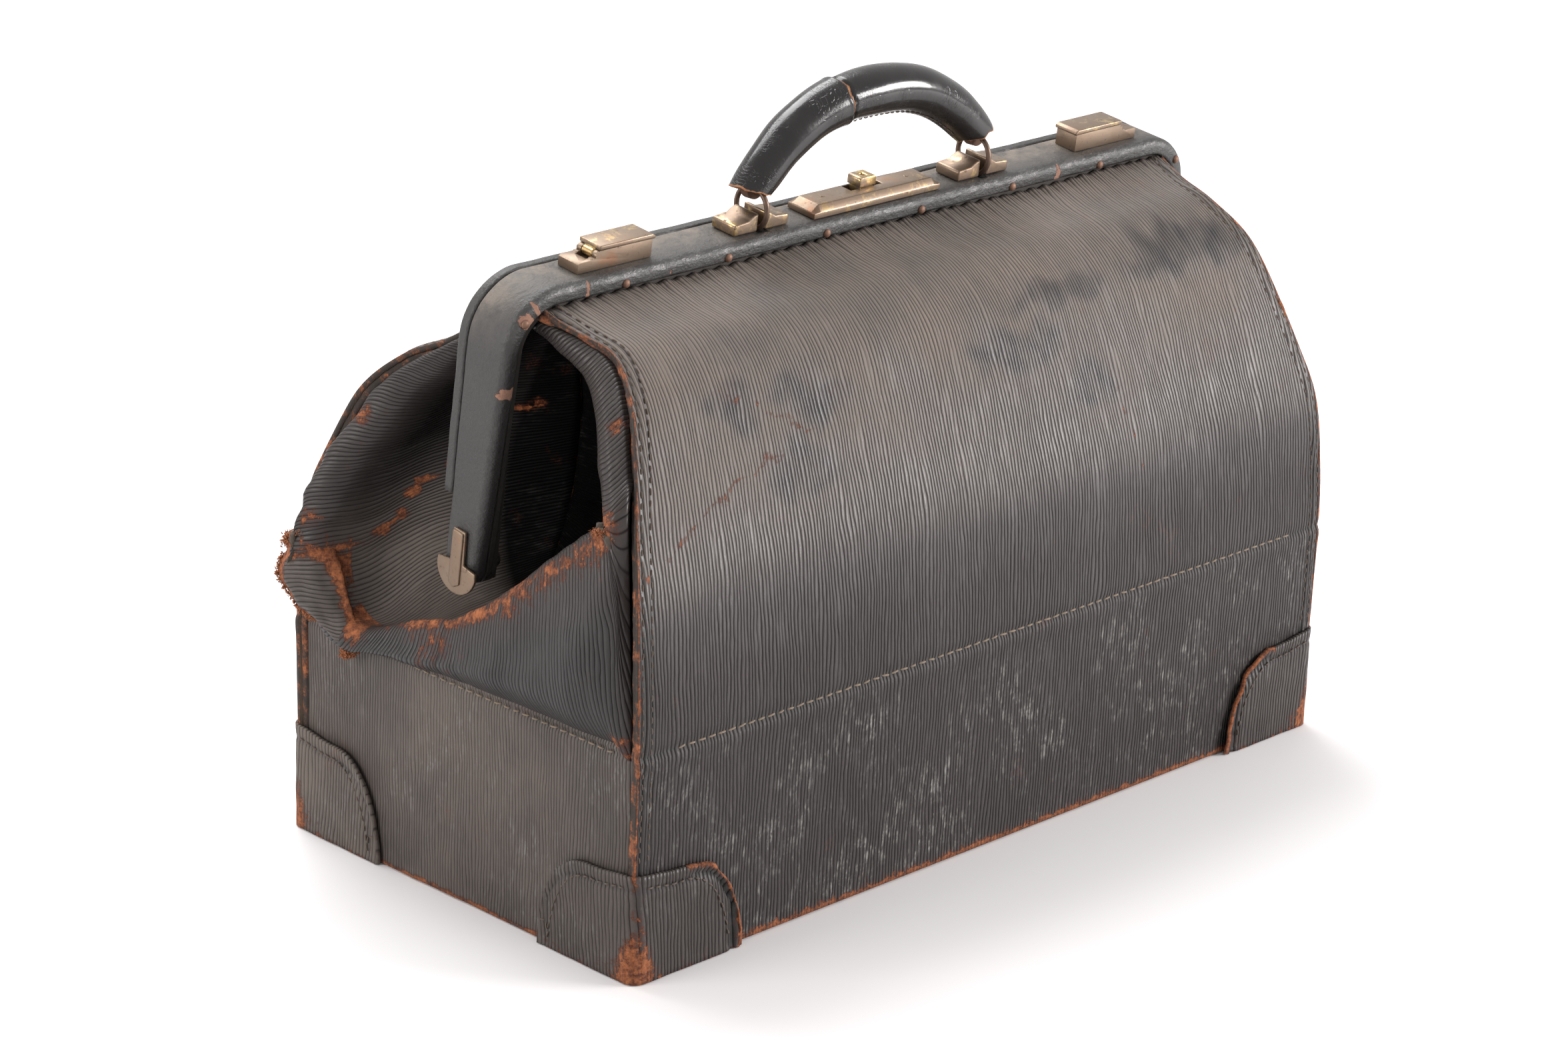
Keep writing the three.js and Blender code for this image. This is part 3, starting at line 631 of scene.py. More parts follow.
# ------------------------------------------------------------------ front and rear panels
# A panel's side profile from the bottom edge to the frame: y, z and how far its ends draw in there.
FRONT_PROFILE = [(-106.2, 1.2, 0), (-107.4, 45, 0), (-108.4, 96, 0), (-107.2, 128, 0.5), (-103.6, 160, 2.5),
                 (-95.5, 187, 9), (-85.5, 214, 17), (-74, 236, 24.5), (-57, 250.5, 31), (-38, 256, 29),
                 (-20.6, 262, 24)]
REAR_PROFILE = [(106.2, 1.2, 0), (107, 45, 0), (107.6, 96, 0), (105.6, 128, 0.5), (101, 156, 2),
                (93, 181, 7), (82, 206, 14), (62, 224, 21), (42, 234, 26), (25, 246, 27), (13.5, 257, 25),
                (8.8, 263.2, 24)]
PROFILE_STEPS = 132
MIDDLE_COLUMN = 90                  # a column of the panel's grid well away from its ends
PANEL_REACH = HALF_LENGTH + 0.8
PATCH_HEIGHT, PATCH_CORNER = 46.0, 48.5         # a corner patch's shoulders, and its top at the corner
STITCH_INSETS = (2.6, 7.2)          # two sewn rows along each upright edge, from the panel's end
END_STEPS = np.array([0, 0.5, 1.1, 1.8, 2.6, 3.4, 4.2, 5.0, 6.0, 7.2, 8.4, 9.6, 11.4, 13.6])

# Dark stains on the front leather: x and z of the middle, half width and half height.
FRONT_STAINS = [(-138, 224, 13, 9), (-98, 221, 17, 9), (-112, 196, 22, 10), (70, 196, 16, 10),
                (24, 218, 30, 7), (150, 238, 42, 9), (60, 234, 30, 6)]
# Cracks that show red, as lines through (x, z).
RED_CREASES = [((-206, 172), (-188, 180), (-170, 190), (-150, 197), (-120, 205)),
               ((-150, 232), (-130, 226), (-112, 214), (-98, 210)),
               ((78, 205), (84, 180), (92, 150))]


def crease_wear(x, z, creases):
    """How close a point is to a wavering crack, from 0 to 1."""
    best = 0.0
    for points in creases:
        for (xa, za), (xb, zb) in zip(points, points[1:]):
            t = unit(((x - xa) * (xb - xa) + (z - za) * (zb - za)) / ((xb - xa) ** 2 + (zb - za) ** 2))
            wave = 1.6 * math.sin(x * 0.35) + 1.2 * math.sin(z * 0.6)
            away = math.hypot(x - xa - t * (xb - xa), z - za - t * (zb - za) + wave)
            best = max(best, falloff(away, 3.4))
    return best


def panel_swell(x, z, share, from_end, to_frame, outward_y):
    """How far the leather stands out from its profile: sag, sewn grooves and the gathers at the frame."""
    upper = unit((z - SEAM) / 60)
    swell = 2.2 * upper * noise3(x, z * 0.6, 3 + outward_y, 95) * (1 - share ** 6)
    swell += 0.5 * noise3(x, z, 9, 28) * (0.4 + upper)
    swell -= 0.9 * hump(z - SEAM, 1.6)
    swell += 0.45 * hump(z - SEAM + 5, 4)
    gather = math.exp(-to_frame / 13) * (0.9 + 0.5 * noise3(x, 0, 5, 20))
    swell += gather * 0.8 * math.sin(x * 0.75 + 2.2 * noise3(x, 2, 2, 16))
    if outward_y > 0:
        swell += spot(x + 190, 26, z - 132, 34) * (3.5 + 3 * noise3(x, z, 1, 14))
    swell -= 0.5 * falloff(from_end, 4)
    if z > PATCH_HEIGHT:
        for inset in STITCH_INSETS:
            swell -= 0.45 * hump(from_end - inset, 0.9)
        swell += 0.3 * hump(from_end - 5, 1.4)
    return swell


def panel_marks(x, z, from_end, front):
    """The panel's mask values at one point."""
    wear = max(0.72 * falloff(from_end, 3.0), 0.62 * falloff(z, 5) + 0.44 * falloff(z, 15))
    stain_and_shade = 0.7 * hump(z - SEAM, 1.3)
    if z > PATCH_HEIGHT:
        stain_and_shade = max([stain_and_shade] + [0.9 * hump(from_end - inset, 0.8) for inset in STITCH_INSETS])
    if front:
        red = max(crease_wear(x, z, RED_CREASES), 0.62 * spot(x + 206, 5, z - 121, 7))
        wear = max(wear, 0.6 * red)
        for sx, sz, wide, tall in FRONT_STAINS:
            dx, dz = x - sx + 13 * noise3(x, z, 4, 17), z - sz + 7 * noise3(x, z, 9, 12)
            blot = 1 / (1 + math.exp(min(40, 4 * ((dx / wide) ** 2 + (dz / tall) ** 2 - 1))))
            stain_and_shade = max(stain_and_shade, blot * (0.85 + 0.6 * noise3(x, z, 2, 6)))
    scuff = unit((SEAM + 4 - z) / 25) * (0.85 + 0.9 * noise3(x, z, 6, 45))
    return {"wear": wear, "stain_and_shade": stain_and_shade, "scuff": scuff, "dust": unit((z - 150) / 75) ** 0.9,
            "polish": unit((z - 126) / 56)}


def panel(name, profile, front):
    """Front or rear leather: one sheet from the bottom edge up and over to the frame."""
    rows = smooth_curve(profile, PROFILE_STEPS)
    run = run_of(rows[:, :2])
    outward_y = -1 if front else 1
    near = PANEL_REACH - END_STEPS
    middle_part = np.linspace(-near[-1] + 2.6, near[-1] - 2.6, 156)
    shares = np.concatenate([-near, middle_part, near[::-1]]) / PANEL_REACH
    shape = (len(rows), len(shares))
    grid, uv = np.empty(shape + (3,)), np.empty(shape + (2,))
    masks = blank_masks(shape, "wear", "dust", "stain_and_shade", "scuff", "polish")
    for i, (y, z, inset) in enumerate(rows):
        a, b = rows[max(i - 1, 0)], rows[min(i + 1, len(rows) - 1)]
        slope = Vector((0, b[0] - a[0], b[1] - a[1])).normalized()
        normal = Vector((0, slope.z * outward_y, -slope.y * outward_y))
        to_frame = run[-1] - run[i]
        for j, share in enumerate(shares):
            x = share * (PANEL_REACH - inset)
            from_end = (1 - abs(share)) * PANEL_REACH
            swell = panel_swell(x, z, share, from_end, to_frame, outward_y)
            grid[i, j] = (x, y + normal.y * swell, z + normal.z * swell)
            gathered = 3.0 * math.exp(-to_frame / 16) * noise3(x, to_frame * 0.3, 8, 17)
            uv[i, j] = (0.62 * x + 0.38 * share * HALF_LENGTH + gathered, run[i])
            for key, value in panel_marks(x, z, from_end, front).items():
                masks[key][i, j] = value
    obj = paint(grid_object(name, grid, uv, masks, out=(0, outward_y, 0)), BODY, LINING, RAW_RIM)
    return thicken(obj, LEATHER), grid


BLEND_LOW, BLEND_HIGH = (0, 0, 0.145), (0, 0, 0.262)            # metres


def bend_with(obj, face, replaces=()):
    """Hides the frame nodes that a piece replaces and bakes its placement into its mesh. The face is not
    used.
    """
    if replaces:
        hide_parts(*replaces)
    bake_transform(obj)
    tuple(BLEND_LOW)
    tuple(BLEND_HIGH)


PROFILES = {"front": FRONT_PROFILE, "rear": REAR_PROFILE}
panel_grids = {}
for face, profile in PROFILES.items():
    piece, panel_grids[face] = panel(f"{face}_panel", profile, face == "front")
    bend_with(piece, face, (f"{face}_panel_lower", f"{face}_panel_upper"))


# ------------------------------------------------------------------ stitching and frayed fibres
def along(values, run, at):
    return np.array([np.interp(at, run, values[:, i]) for i in range(3)])


# A stitch's sections: place along it, rise and thickness, as shares of its length and radius.
STITCH_SHAPE = ((-0.5, -0.9, 0.5), (-0.34, 0.1, 0.9), (0, 0.4, 1.0), (0.34, 0.1, 0.9), (0.5, -0.9, 0.5))


def stitches(name, path, normals, pitch, length, radius=0.42):
    """Short lengths of thread laid along a path, each diving into the leather at both ends."""
    sections, sides = len(STITCH_SHAPE), 6
    path, normals = np.array(path, float), np.array(normals, float)
    run = run_of(path)
    count = int(run[-1] / pitch)
    points, faces = [], []
    ring = circle(1, sides)
    for k in range(count):
        at = (k + 0.5) * run[-1] / count
        tangent = along(path, run, at + 0.8) - along(path, run, at - 0.8)
        tangent /= np.linalg.norm(tangent)
        normal = along(normals, run, at)
        side = np.cross(tangent, normal)
        tangent = tangent + side * 0.25 * noise3(at, k * 3.7, 1, 2.3)
        size = length * (1 + 0.3 * noise3(at, 5, k, 3.1))
        for step, rise, scale in STITCH_SHAPE:
            centre = along(path, run, at) + tangent * step * size + normal * rise * radius
            for a, b in ring * radius * scale:
                points.append(centre + side * a + normal * b)
        base, last = len(points) - sections * sides, len(points) - sides
        faces += [tuple(base + i for i in f) for f in grid_faces(sections, sides, wrap=True)]
        faces += [tuple(base + i for i in range(sides))[::-1], tuple(last + i for i in range(sides))]
    return mesh_object(name, points, faces)


TRIANGLE = ((0, 1), (1, 2), (2, 0))


def fibres(name, centres, spread, direction, count, length, seed, wide=1.0):
    """A tuft of torn leather fibres round the given centres; flat shreds when wide is more than 1."""
    rng = np.random.default_rng(seed)
    points, faces = [], []
    for _ in range(count):
        centre = np.array(centres[rng.integers(len(centres))], float) + rng.normal(0, spread, 3)
        heading = np.array(direction, float) + rng.normal(0, 0.75, 3)
        heading /= np.linalg.norm(heading)
        side = np.cross(heading, rng.normal(0, 1, 3))
        side /= np.linalg.norm(side)
        other = np.cross(heading, side)
        long, thick = length * rng.uniform(0.35, 1.0), rng.uniform(0.14, 0.42)
        curl = rng.normal(0, 0.35, 2)
        base = len(points)
        bend = (side * curl[0] + other * curl[1]) * long
        for step, scale in ((0, 1.0), (0.55, 0.8)):
            at = centre + heading * long * step + bend * step ** 2
            for angle in (0, 2.094, 4.189):
                spoke = side * wide * math.cos(angle) + other * math.sin(angle)
                points.append(at + thick * scale * spoke)
        points.append(centre + heading * long + bend)
        faces += [(base + a, base + b, base + b + 3, base + a + 3) for a, b in TRIANGLE]
        faces += [(base + a + 3, base + b + 3, base + 6) for a, b in TRIANGLE]
        faces.append((base + 2, base + 1, base))
    return mesh_object(name, points, faces)


def on_panel(face, xs_of_rows, rows):
    """Points and normals of a panel along chosen rows, each at its own x."""
    grid, normals = panel_grids[face], panel_normals(face)
    path, out = [], []
    for i, x in zip(rows, xs_of_rows):
        order = np.argsort(grid[i, :, 0])
        xs = grid[i, order, 0]
        path.append([x] + [np.interp(x, xs, grid[i, order, k]) for k in (1, 2)])
        out.append([np.interp(x, xs, normals[i, order, k]) for k in range(3)])
    return np.array(path), np.array(out)


def panel_normals(face):
    return grid_normals(panel_grids[face], (0, -1 if face == "front" else 1, 0))


def sew_panels():
    for face, grid in panel_grids.items():
        upright = [i for i in range(len(grid)) if grid[i, 0, 2] > PATCH_CORNER + 2]
        for end, side in SIDES:
            edge = grid[upright, 0 if side < 0 else -1, 0]
            for number, inset in enumerate(STITCH_INSETS, 1):
                path, out = on_panel(face, edge - side * inset, upright)
                row = stitches(f"{face}_{end}_stitches_{number}", path, out, pitch=4.6, length=3.1)
                bend_with(paint(row, THREAD_DARK), face)
        seam_row = int(np.argmin(abs(grid[:, MIDDLE_COLUMN, 2] - SEAM)))
        columns = slice(len(END_STEPS) + 2, -len(END_STEPS) - 2)
        normals = panel_normals(face)[seam_row, columns]
        row = stitches(f"{face}_seam_stitches", grid[seam_row, columns], normals, pitch=5.6, length=4.7,
                       radius=0.5)
        dress(row, "base", "body_leather", THREAD)


sew_panels()


# ------------------------------------------------------------------ welts in the four upright seams
WELT_OUT, WELT_IN, WELT_HALF = 3.9, 3.6, 1.5        # across the seam, and half the thickness


def make_welts():
    for face, grid in panel_grids.items():
        normals = panel_normals(face)
        for end, side in SIDES:
            column, inner = (0, 4) if side < 0 else (-1, -5)
            centres, frames, sections = [], [], []
            for i in range(len(grid)):
                edge, normal = grid[i, column], -normals[i, inner]
                normal = normal / np.linalg.norm(normal)
                rough = 0.5 * noise3(edge[2], side * 3, edge[1], 3.5)
                centres.append(edge + np.array([-side * 4.3, 0, 0]) + normal * (LEATHER + 1.6))
                frames.append(((side, 0, 0), tuple(normal)))
                outer = WELT_OUT + rough
                sections.append([(outer - 0.5, -WELT_HALF), (outer, -0.8 + rough * 0.3), (outer - 0.1, 0.2),
                                 (outer, 1.0), (outer - 0.8, 1.6), (0, 1.7), (-WELT_IN, WELT_HALF),
                                 (-WELT_IN, -WELT_HALF), (0, -1.6)])
            welt = paint(sweep(f"{face}_{end}_welt_strip", centres, frames, sections), RAW_DARK_EDGE)
            bend_with(welt, face, (f"{face}_{end}_welt",))


make_welts()

# ------------------------------------------------------------------ end gussets
# How a closed gusset folds, as stations from under the frame at the front, down the front seam, along
# the ridge over the end wall and up the rear seam. Each station runs from its seam over the roll and
# into the fold: distance out from the bag's middle, y, z.
GUSSET_STATIONS = [
    [(190, -20, 257), (191, -17, 256), (191, -15, 254), (189, -12, 253),
     (182, -9, 253), (168, -4, 254), (149, 8, 255)],
    [(184.5, -40, 253), (188, -37, 250), (189, -34, 247), (187, -30, 244),
     (178, -25, 241), (160, -13, 236), (145.9, 8, 232)],
    [(184.5, -56, 247.5), (189, -53, 243), (191, -50, 239), (189, -45, 235),
     (179, -37, 229), (157, -20, 217), (143, 8, 209)],
    [(191.5, -71, 233.5), (196.5, -68, 229), (199, -65, 225), (197, -60, 220),
     (186, -50, 211), (158, -26, 199), (143.5, 8, 191)],
    [(198.5, -82, 213.5), (204, -80, 209), (207, -77, 206), (205, -71, 203),
     (192, -59, 195), (160, -32, 185), (145, 8, 178)],
    [(206, -91, 192), (211, -89, 191), (213.5, -86, 191), (212, -80, 190),
     (198, -66, 185), (163, -36, 174), (146.6, 8, 168)],
    [(213.2, -103.4, 99), (217, -99.5, 122), (217, -93, 160), (213, -82, 189),
     (200, -65, 183), (166, -38, 168), (148.4, 8, 162)],
    [(213.6, -93, 98), (222, -90, 117), (222, -84, 148), (214, -74, 184),
     (201, -58, 177), (169, -37, 161), (149.9, 8, 157)],
    [(213.6, -78, 98), (223.5, -75, 115), (222.5, -70, 142), (214.5, -62, 175),
     (202, -49, 166), (172, -32, 152), (152.4, 8, 149)],
    [(213.6, -61, 98), (224, -58, 113), (222.5, -54, 134), (215, -47, 163),
     (203, -37, 154), (176, -25, 142), (155.4, 8, 142)],
    [(213.6, -42, 98), (224, -39, 112), (222.5, -37, 127), (216, -32, 151),
     (203, -25, 142), (178, -16, 134), (158, 8, 136)],
    [(213.6, -23, 98), (223.5, -21, 110), (222.5, -20, 120), (216, -16, 140),
     (204, -12, 131), (180, -7, 126), (160.5, 8, 130)],
    [(213.6, -7, 98), (222.5, -6, 108), (221.5, -5, 116), (215.5, -3, 132),
     (204, -1, 124), (182, 2, 121), (162.2, 8, 126)],
    [(213.6, 8, 98), (222, 8, 106), (220.5, 8, 113), (215, 8, 126),
     (204, 8, 119), (182, 8, 118), (163, 8, 124)],
    [(213.6, 32, 97), (221.5, 29, 103), (220, 27, 109), (215, 25, 120),
     (204, 21, 115), (182, 16, 117), (161.8, 8, 127)],
    [(213.6, 58, 97), (221.5, 50, 100), (220, 46, 106), (215, 42, 114),
     (204, 36, 112), (181, 27, 120), (158.8, 8, 134)],
    [(213.6, 82, 98), (221.5, 72, 95), (221.5, 66, 101), (216.5, 60, 107),
     (204, 54, 108), (180, 40, 126), (155, 8, 143)],
    [(213.6, 101, 103), (223, 94, 107), (223, 88, 110), (218, 78, 112),
     (203, 69, 115), (179, 50, 136), (150.8, 8, 154)],
    [(213.4, 103, 118), (227, 99, 122), (227, 94, 125), (220, 86, 128),
     (202, 76, 130), (178, 56, 147), (147.2, 8, 166)],
    [(213, 101.5, 136), (227, 98, 140), (227, 92, 143), (220, 83, 146),
     (201, 74, 148), (177, 55, 163), (144.9, 8, 179)],
    [(211.5, 97.5, 154), (222, 94, 158), (222.5, 88, 162), (214, 78, 164),
     (197, 70, 166), (175, 52, 178), (143.5, 8, 191)],
    [(205.5, 91, 176), (213, 87, 181), (213, 80, 184), (206, 70, 184),
     (191, 62, 185), (170, 45, 196), (143.1, 8, 205)],
    [(198, 78, 204), (203, 72, 208), (202, 65, 209), (196, 56, 207),
     (182, 49, 207), (164, 35, 216), (144.6, 8, 222)],
    [(191, 58, 221), (195, 53, 223), (194, 48, 223), (189, 41, 221),
     (176, 33, 223), (160, 24, 231), (146.5, 8, 236)],
    [(188, 26, 241), (190, 23, 242), (190, 20, 243), (187, 17, 244),
     (178, 15, 247), (163, 13, 251), (148.9, 8, 254)],
]
GUSSET_THICK = 2.0
WALL_OUT = 214.6                # the end wall's outer face
SPLIT_STATION = 13
STATION_STEPS = 8
FOLD_ROWS = 76
RIDGE_ROW = 0.5                 # where the roll's crest falls along a station
# Worn and torn places of the left gusset: y and z of the middle, size and depth.
LEFT_TEARS = [((66, 108), 12, 1.0), ((84, 128), 16, 1.0), ((-80, 189), 11, 1.0),
              ((-33, 148), 15, 0.75), ((-70, 226), 6, 0.8), ((14, 118), 24, 0.62),
              ((-100, 103), 10, 0.75), ((74, 196), 7, 0.85), ((88, 150), 8, 0.7),
              ((-58, 168), 10, 0.62)]
POCKET_CRACK = [(22, 205), (36, 196), (48, 180), (64, 163), (70, 146), (80, 137)]


def gusset_surface(side):
    """The folded gusset as one grid, rows from seam to fold and columns along the stations."""
    stations = np.array(GUSSET_STATIONS, float)
    if side > 0:                        # the right end is less collapsed
        stations[17:20, 1:4, 0] -= 5
        stations[2:7, 1:5, 0] -= 6
    columns = (len(stations) - 1) * STATION_STEPS + 1
    dense = through(stations, columns)
    grid = np.array([through(column, FOLD_ROWS) for column in dense]).transpose(1, 0, 2)
    grid[..., 0] *= side
    normals = grid_normals(grid, (side, 0, 0))
    for i in range(FOLD_ROWS):
        share = i / (FOLD_ROWS - 1)
        loose = min(1, share / 0.12)
        for j in range(columns):
            x, y, z = grid[i, j]
            rear = unit((y - 55) / 25)
            push = loose * (1.6 + 2.6 * rear) * noise3(y + side * 40, z * 0.7, x * 0.3, 19)
            push += loose * (0.5 + 1.2 * rear) * noise3(j * 1.9, share * 9, 4 + side, 6)
            push += loose * 1.6 * rear * noise3(j * 0.9, share * 5, 2 + side, 2.6)
            push -= 3.0 * hump(i, 2.4)
            grid[i, j] += normals[i, j] * push
    return grid


def gusset_masks(grid, side):
    rows, columns = grid.shape[:2]
    masks = blank_masks((rows, columns), "wear", "dust", "stain_and_shade", "scuff", "deep")
    for i in range(rows):
        share = i / (rows - 1)
        for j in range(columns):
            x, y, z = grid[i, j]
            station = j / STATION_STEPS
            crest = hump(share - RIDGE_ROW + 0.03, 0.07)
            on_ridge = unit(station - 5.5) * unit(18.5 - station)
            wear = crest * (0.56 + 0.24 * noise3(y, z, side * 5, 17)) * (0.45 + 0.55 * on_ridge)
            if side < 0:
                for (cy, cz), size, depth in LEFT_TEARS if share < 0.62 else ():
                    wear = max(wear, 0.8 * depth * hump(math.hypot(y - cy, z - cz), size))
                if share > 0.56:
                    wear = max(wear, 0.95 * crease_wear(y, z, [POCKET_CRACK]))
            masks["wear"][i, j] = wear
            shelf = unit((share - 0.50) / 0.08) * unit((station - 9.5) / 2)
            # painted shade on the bulge from the seam up to the roll's crest, which faces outwards and a
            # little down
            masks["stain_and_shade"][i, j] = 0.85 * on_ridge * unit((0.44 - share) / 0.1)
            masks["dust"][i, j] = 0.72 * shelf * unit((20 - station) / 3)
            # painted shade inside the end pockets: the inner rows at the front and rear stations, and the
            # innermost rows everywhere
            inside = unit((share - 0.56) / 0.12)
            upper = max(unit((9.5 - station) / 2), 0.8 * unit((station - 19) / 2))
            further = unit((share - (0.66 if station < 13 else 0.84)) / 0.08)
            masks["deep"][i, j] = max(inside * upper, further)
    return masks


def make_gussets():
    for end, side in SIDES:
        grid = gusset_surface(side)
        masks = gusset_masks(grid, side)
        ridge = int(FOLD_ROWS * RIDGE_ROW)
        steps = np.linalg.norm(np.diff(grid, axis=1), axis=2)
        u = np.concatenate([[0], np.cumsum(steps[ridge - 22:ridge + 16].mean(axis=0))]) * 0.85
        v = np.column_stack([run_of(grid[:, j]) for j in range(grid.shape[1])])
        uv = np.dstack([np.broadcast_to(u, v.shape), v])
        middle_column = SPLIT_STATION * STATION_STEPS
        for face, part in (("front", slice(0, middle_column + 1)), ("rear", slice(middle_column, None))):
            piece = grid_object(f"{end}_gusset_{face}_fold", grid[:, part], uv[:, part],
                                {k: m[:, part] for k, m in masks.items()}, out=(side, 0, 0))
            thicken(paint(piece, GUSSET, INSIDE, RAW), GUSSET_THICK)
            bend_with(piece, face, (f"{end}_gusset_{face}",))
        make_end_wall(end, side)
        make_fold_back(end, side)


def make_end_wall(end, side):
    """The flat lower part of a gusset, with its stitched row."""
    ys = np.concatenate([[-104.0, -103.2, -102, -100.5], np.linspace(-98.5, 98.5, 76),
                         [100.5, 102, 103.2, 104.0]])
    zs = np.concatenate([np.linspace(0.8, 92, 34), np.linspace(93.5, 104, 12)])
    grid, uv = np.empty((len(zs), len(ys), 3)), np.empty((len(zs), len(ys), 2))
    masks = blank_masks(uv.shape[:2], "wear", "dust", "stain_and_shade", "scuff")
    for i, z in enumerate(zs):
        for j, y in enumerate(ys):
            bulge = 0.9 * noise3(y, z, 11 * side, 60) + 0.3 * noise3(y, z, 3, 14)
            bulge -= 2.6 * falloff(104.5 - abs(y), 4.5) ** 1.5
            bulge -= 0.8 * hump(z - SEAM + 2, 1.3)
            bulge -= 1.5 * unit((z - SEAM) / 3)
            grid[i, j] = (side * (WALL_OUT + bulge), y, z)
            uv[i, j] = (y, z)
            masks["wear"][i, j] = 0.72 * falloff(z, 4) + 0.3 * falloff(z, 9)
            masks["scuff"][i, j] = 0.35 + 0.5 * noise3(y, z, 6, 50)
            masks["dust"][i, j] = 0.44 + 0.35 * noise3(y, z, 16, 60)
    wall = grid_object(f"{end}_gusset_wall", grid, uv, masks, out=(side, 0, 0))
    thicken(wall, GUSSET_THICK)
    dress(wall, "base", "body_leather", GUSSET, replaces=(f"{end}_gusset_lower",))
    row = []
    for y in ys[6:-6]:
        row.append((side * (WALL_OUT + 0.3 + 0.9 * noise3(y, SEAM - 2, 11 * side, 60)), y, SEAM - 2))
    threads = stitches(f"{end}_seam_stitches", row, [(side, 0, 0)] * len(row), pitch=5.6, length=4.0,
                       radius=0.46)
    dress(threads, "base", "body_leather", THREAD)


def make_fold_back(end, side):
    """The back of the fold: it stays with the box and closes the end when the frame opens."""
    ys, zs = np.linspace(-80, 84, 60), np.linspace(99, 208, 40)
    grid, uv = np.empty((len(zs), len(ys), 3)), np.empty((len(zs), len(ys), 2))
    for i, z in enumerate(zs):
        for j, y in enumerate(ys):
            rise = i / (len(zs) - 1)
            narrow = 1 - 0.45 * rise ** 1.5
            top = z - 22 * rise * (abs(y) / 84) ** 2
            depth = 137 + 2.5 * math.sin(y * 0.16) * rise + 60 * (1 - rise) ** 6
            grid[i, j] = (side * min(depth, 196), 6 + (y - 4) * narrow, top)
            uv[i, j] = (y, z)
    dust = np.full(uv.shape[:2], 0.2)
    sheet = grid_object(f"{end}_gusset_back", grid, uv, {"dust": dust}, out=(side, 0, 0))
    thicken(sheet, 1.6)
    dress(sheet, "base", "body_leather", GUSSET)
    outline = [(4, 140), (12, 140), (12.5, 152), (8, 156), (3.5, 152)]
    tab = extrude(f"{end}_hinge_tab", [(side * x, y, z) for x in (193, 195.4) for y, z in outline])
    dress(bevelled(tab, 0.6, 2), "base", "body_leather", INSIDE)


make_gussets()


# ------------------------------------------------------------------ torn leather at the left rear corner
TORN_FLAP = [[(-219, 107, 131), (-224, 101, 138), (-222, 92, 142), (-215, 84, 139)],
             [(-226, 105, 123), (-229, 97, 127), (-225, 86, 129), (-216, 77, 129)],
             [(-226, 98, 112), (-228, 89, 115), (-224, 79, 116), (-216, 72, 116)],
             [(-223, 84, 102), (-224, 77, 103), (-221, 71, 103), (-216, 67, 105)],
             [(-220, 72, 93), (-221, 69, 93), (-220, 66, 94), (-218, 64, 96)]]
RIDGE_TEAR = [(-213, -82, 188.5), (-212, -78, 187.5), (-210, -74, 185.5), (-211.5, -86, 187)]


def make_torn_corner():
    """A curled flap of torn leather, with fibres along its edges and at a tear in the front roll."""
    grid = through(TORN_FLAP, 34)
    grid = np.array([through(row, 28) for row in grid])
    normals = grid_normals(grid, (-1, 0, 0))
    masks = {"wear": np.zeros(grid.shape[:2]), "dust": np.full(grid.shape[:2], 0.3)}
    for i in range(grid.shape[0]):
        for j in range(grid.shape[1]):
            rim = min(i, j, grid.shape[0] - 1 - i, grid.shape[1] - 1 - j)
            x, y, z = grid[i, j]
            push = 1.8 * noise3(x, y, z, 9) + (0.9 if rim < 2 else 0.3) * noise3(x, y, z, 2.6)
            grid[i, j] += normals[i, j] * push
            grid[i, j] += (0.8 if rim < 1 else 0) * np.array([0, noise3(y, z, 1, 2), noise3(y, z, 5, 2)])
            masks["wear"][i, j] = 0.95 * falloff(rim, 7) + 0.8 * falloff(i, 12)
    steps = np.arange(grid.shape[0])[:, None] * 1.4 + np.zeros(grid.shape[1])
    across = np.zeros(grid.shape[0])[:, None] + np.arange(grid.shape[1]) * 1.1
    flap = grid_object("torn_flap", grid, np.dstack([steps, across]), masks, out=(-1, 0, 0))
    thicken(flap, 1.7)
    bend_with(paint(flap, GUSSET), "rear")
    # Each tuft's name, centres, spread, direction, count, length and seed.
    tufts = [("flap_top", grid[0, 2:-2], 0.9, (-0.2, -0.1, 0.5), 520, 2.2, 11),
             ("flap_side", grid[4:24, 0], 0.6, (-0.4, 0.3, 0.1), 260, 1.6, 12),
             ("flap_tip", grid[-1, 4:-4], 0.7, (-0.3, -0.2, -0.6), 260, 2.0, 13),
             ("ridge_tear", RIDGE_TEAR, 1.0, (-0.5, 0.1, 0.4), 260, 1.5, 14)]
    for name, centres, spread, direction, count, length, seed in tufts:
        fine = fibres(f"{name}_fibres", centres, spread, direction, count, length, seed)
        shreds = fibres(f"{name}_shreds", centres, spread * 0.8, direction, count // 5, length * 1.3,
                        seed + 20, wide=3.2)
        for tuft in (fine, shreds):
            bend_with(paint(tuft, RAW_FIBRE), "front" if name == "ridge_tear" else "rear")


make_torn_corner()


# ------------------------------------------------------------------ corner patches
PATCH_FRONT, PATCH_END, PATCH_THICK = 57.0, 55.0, 1.9
PATCH_BEND = 4.0                # radius of the wrap round the corner
PATCH_LEVEL = 0.45              # share of a patch's width before its outline turns down
PATCH_SEWN = 5.5                # its stitched row, from the outline


def patch_top(u):
    """Height of a patch's outline at u millimetres from the corner, positive along the long side."""
    width = PATCH_FRONT if u > 0 else PATCH_END
    t = min(1.0, abs(u) / width)
    if t < PATCH_LEVEL:
        ease = 0.5 - 0.5 * math.cos(t / PATCH_LEVEL * math.pi)
        return PATCH_CORNER + (PATCH_HEIGHT - PATCH_CORNER) * ease
    return PATCH_HEIGHT * max(0.0, 1 - ((t - PATCH_LEVEL) / (1 - PATCH_LEVEL)) ** 2.4) ** 0.5


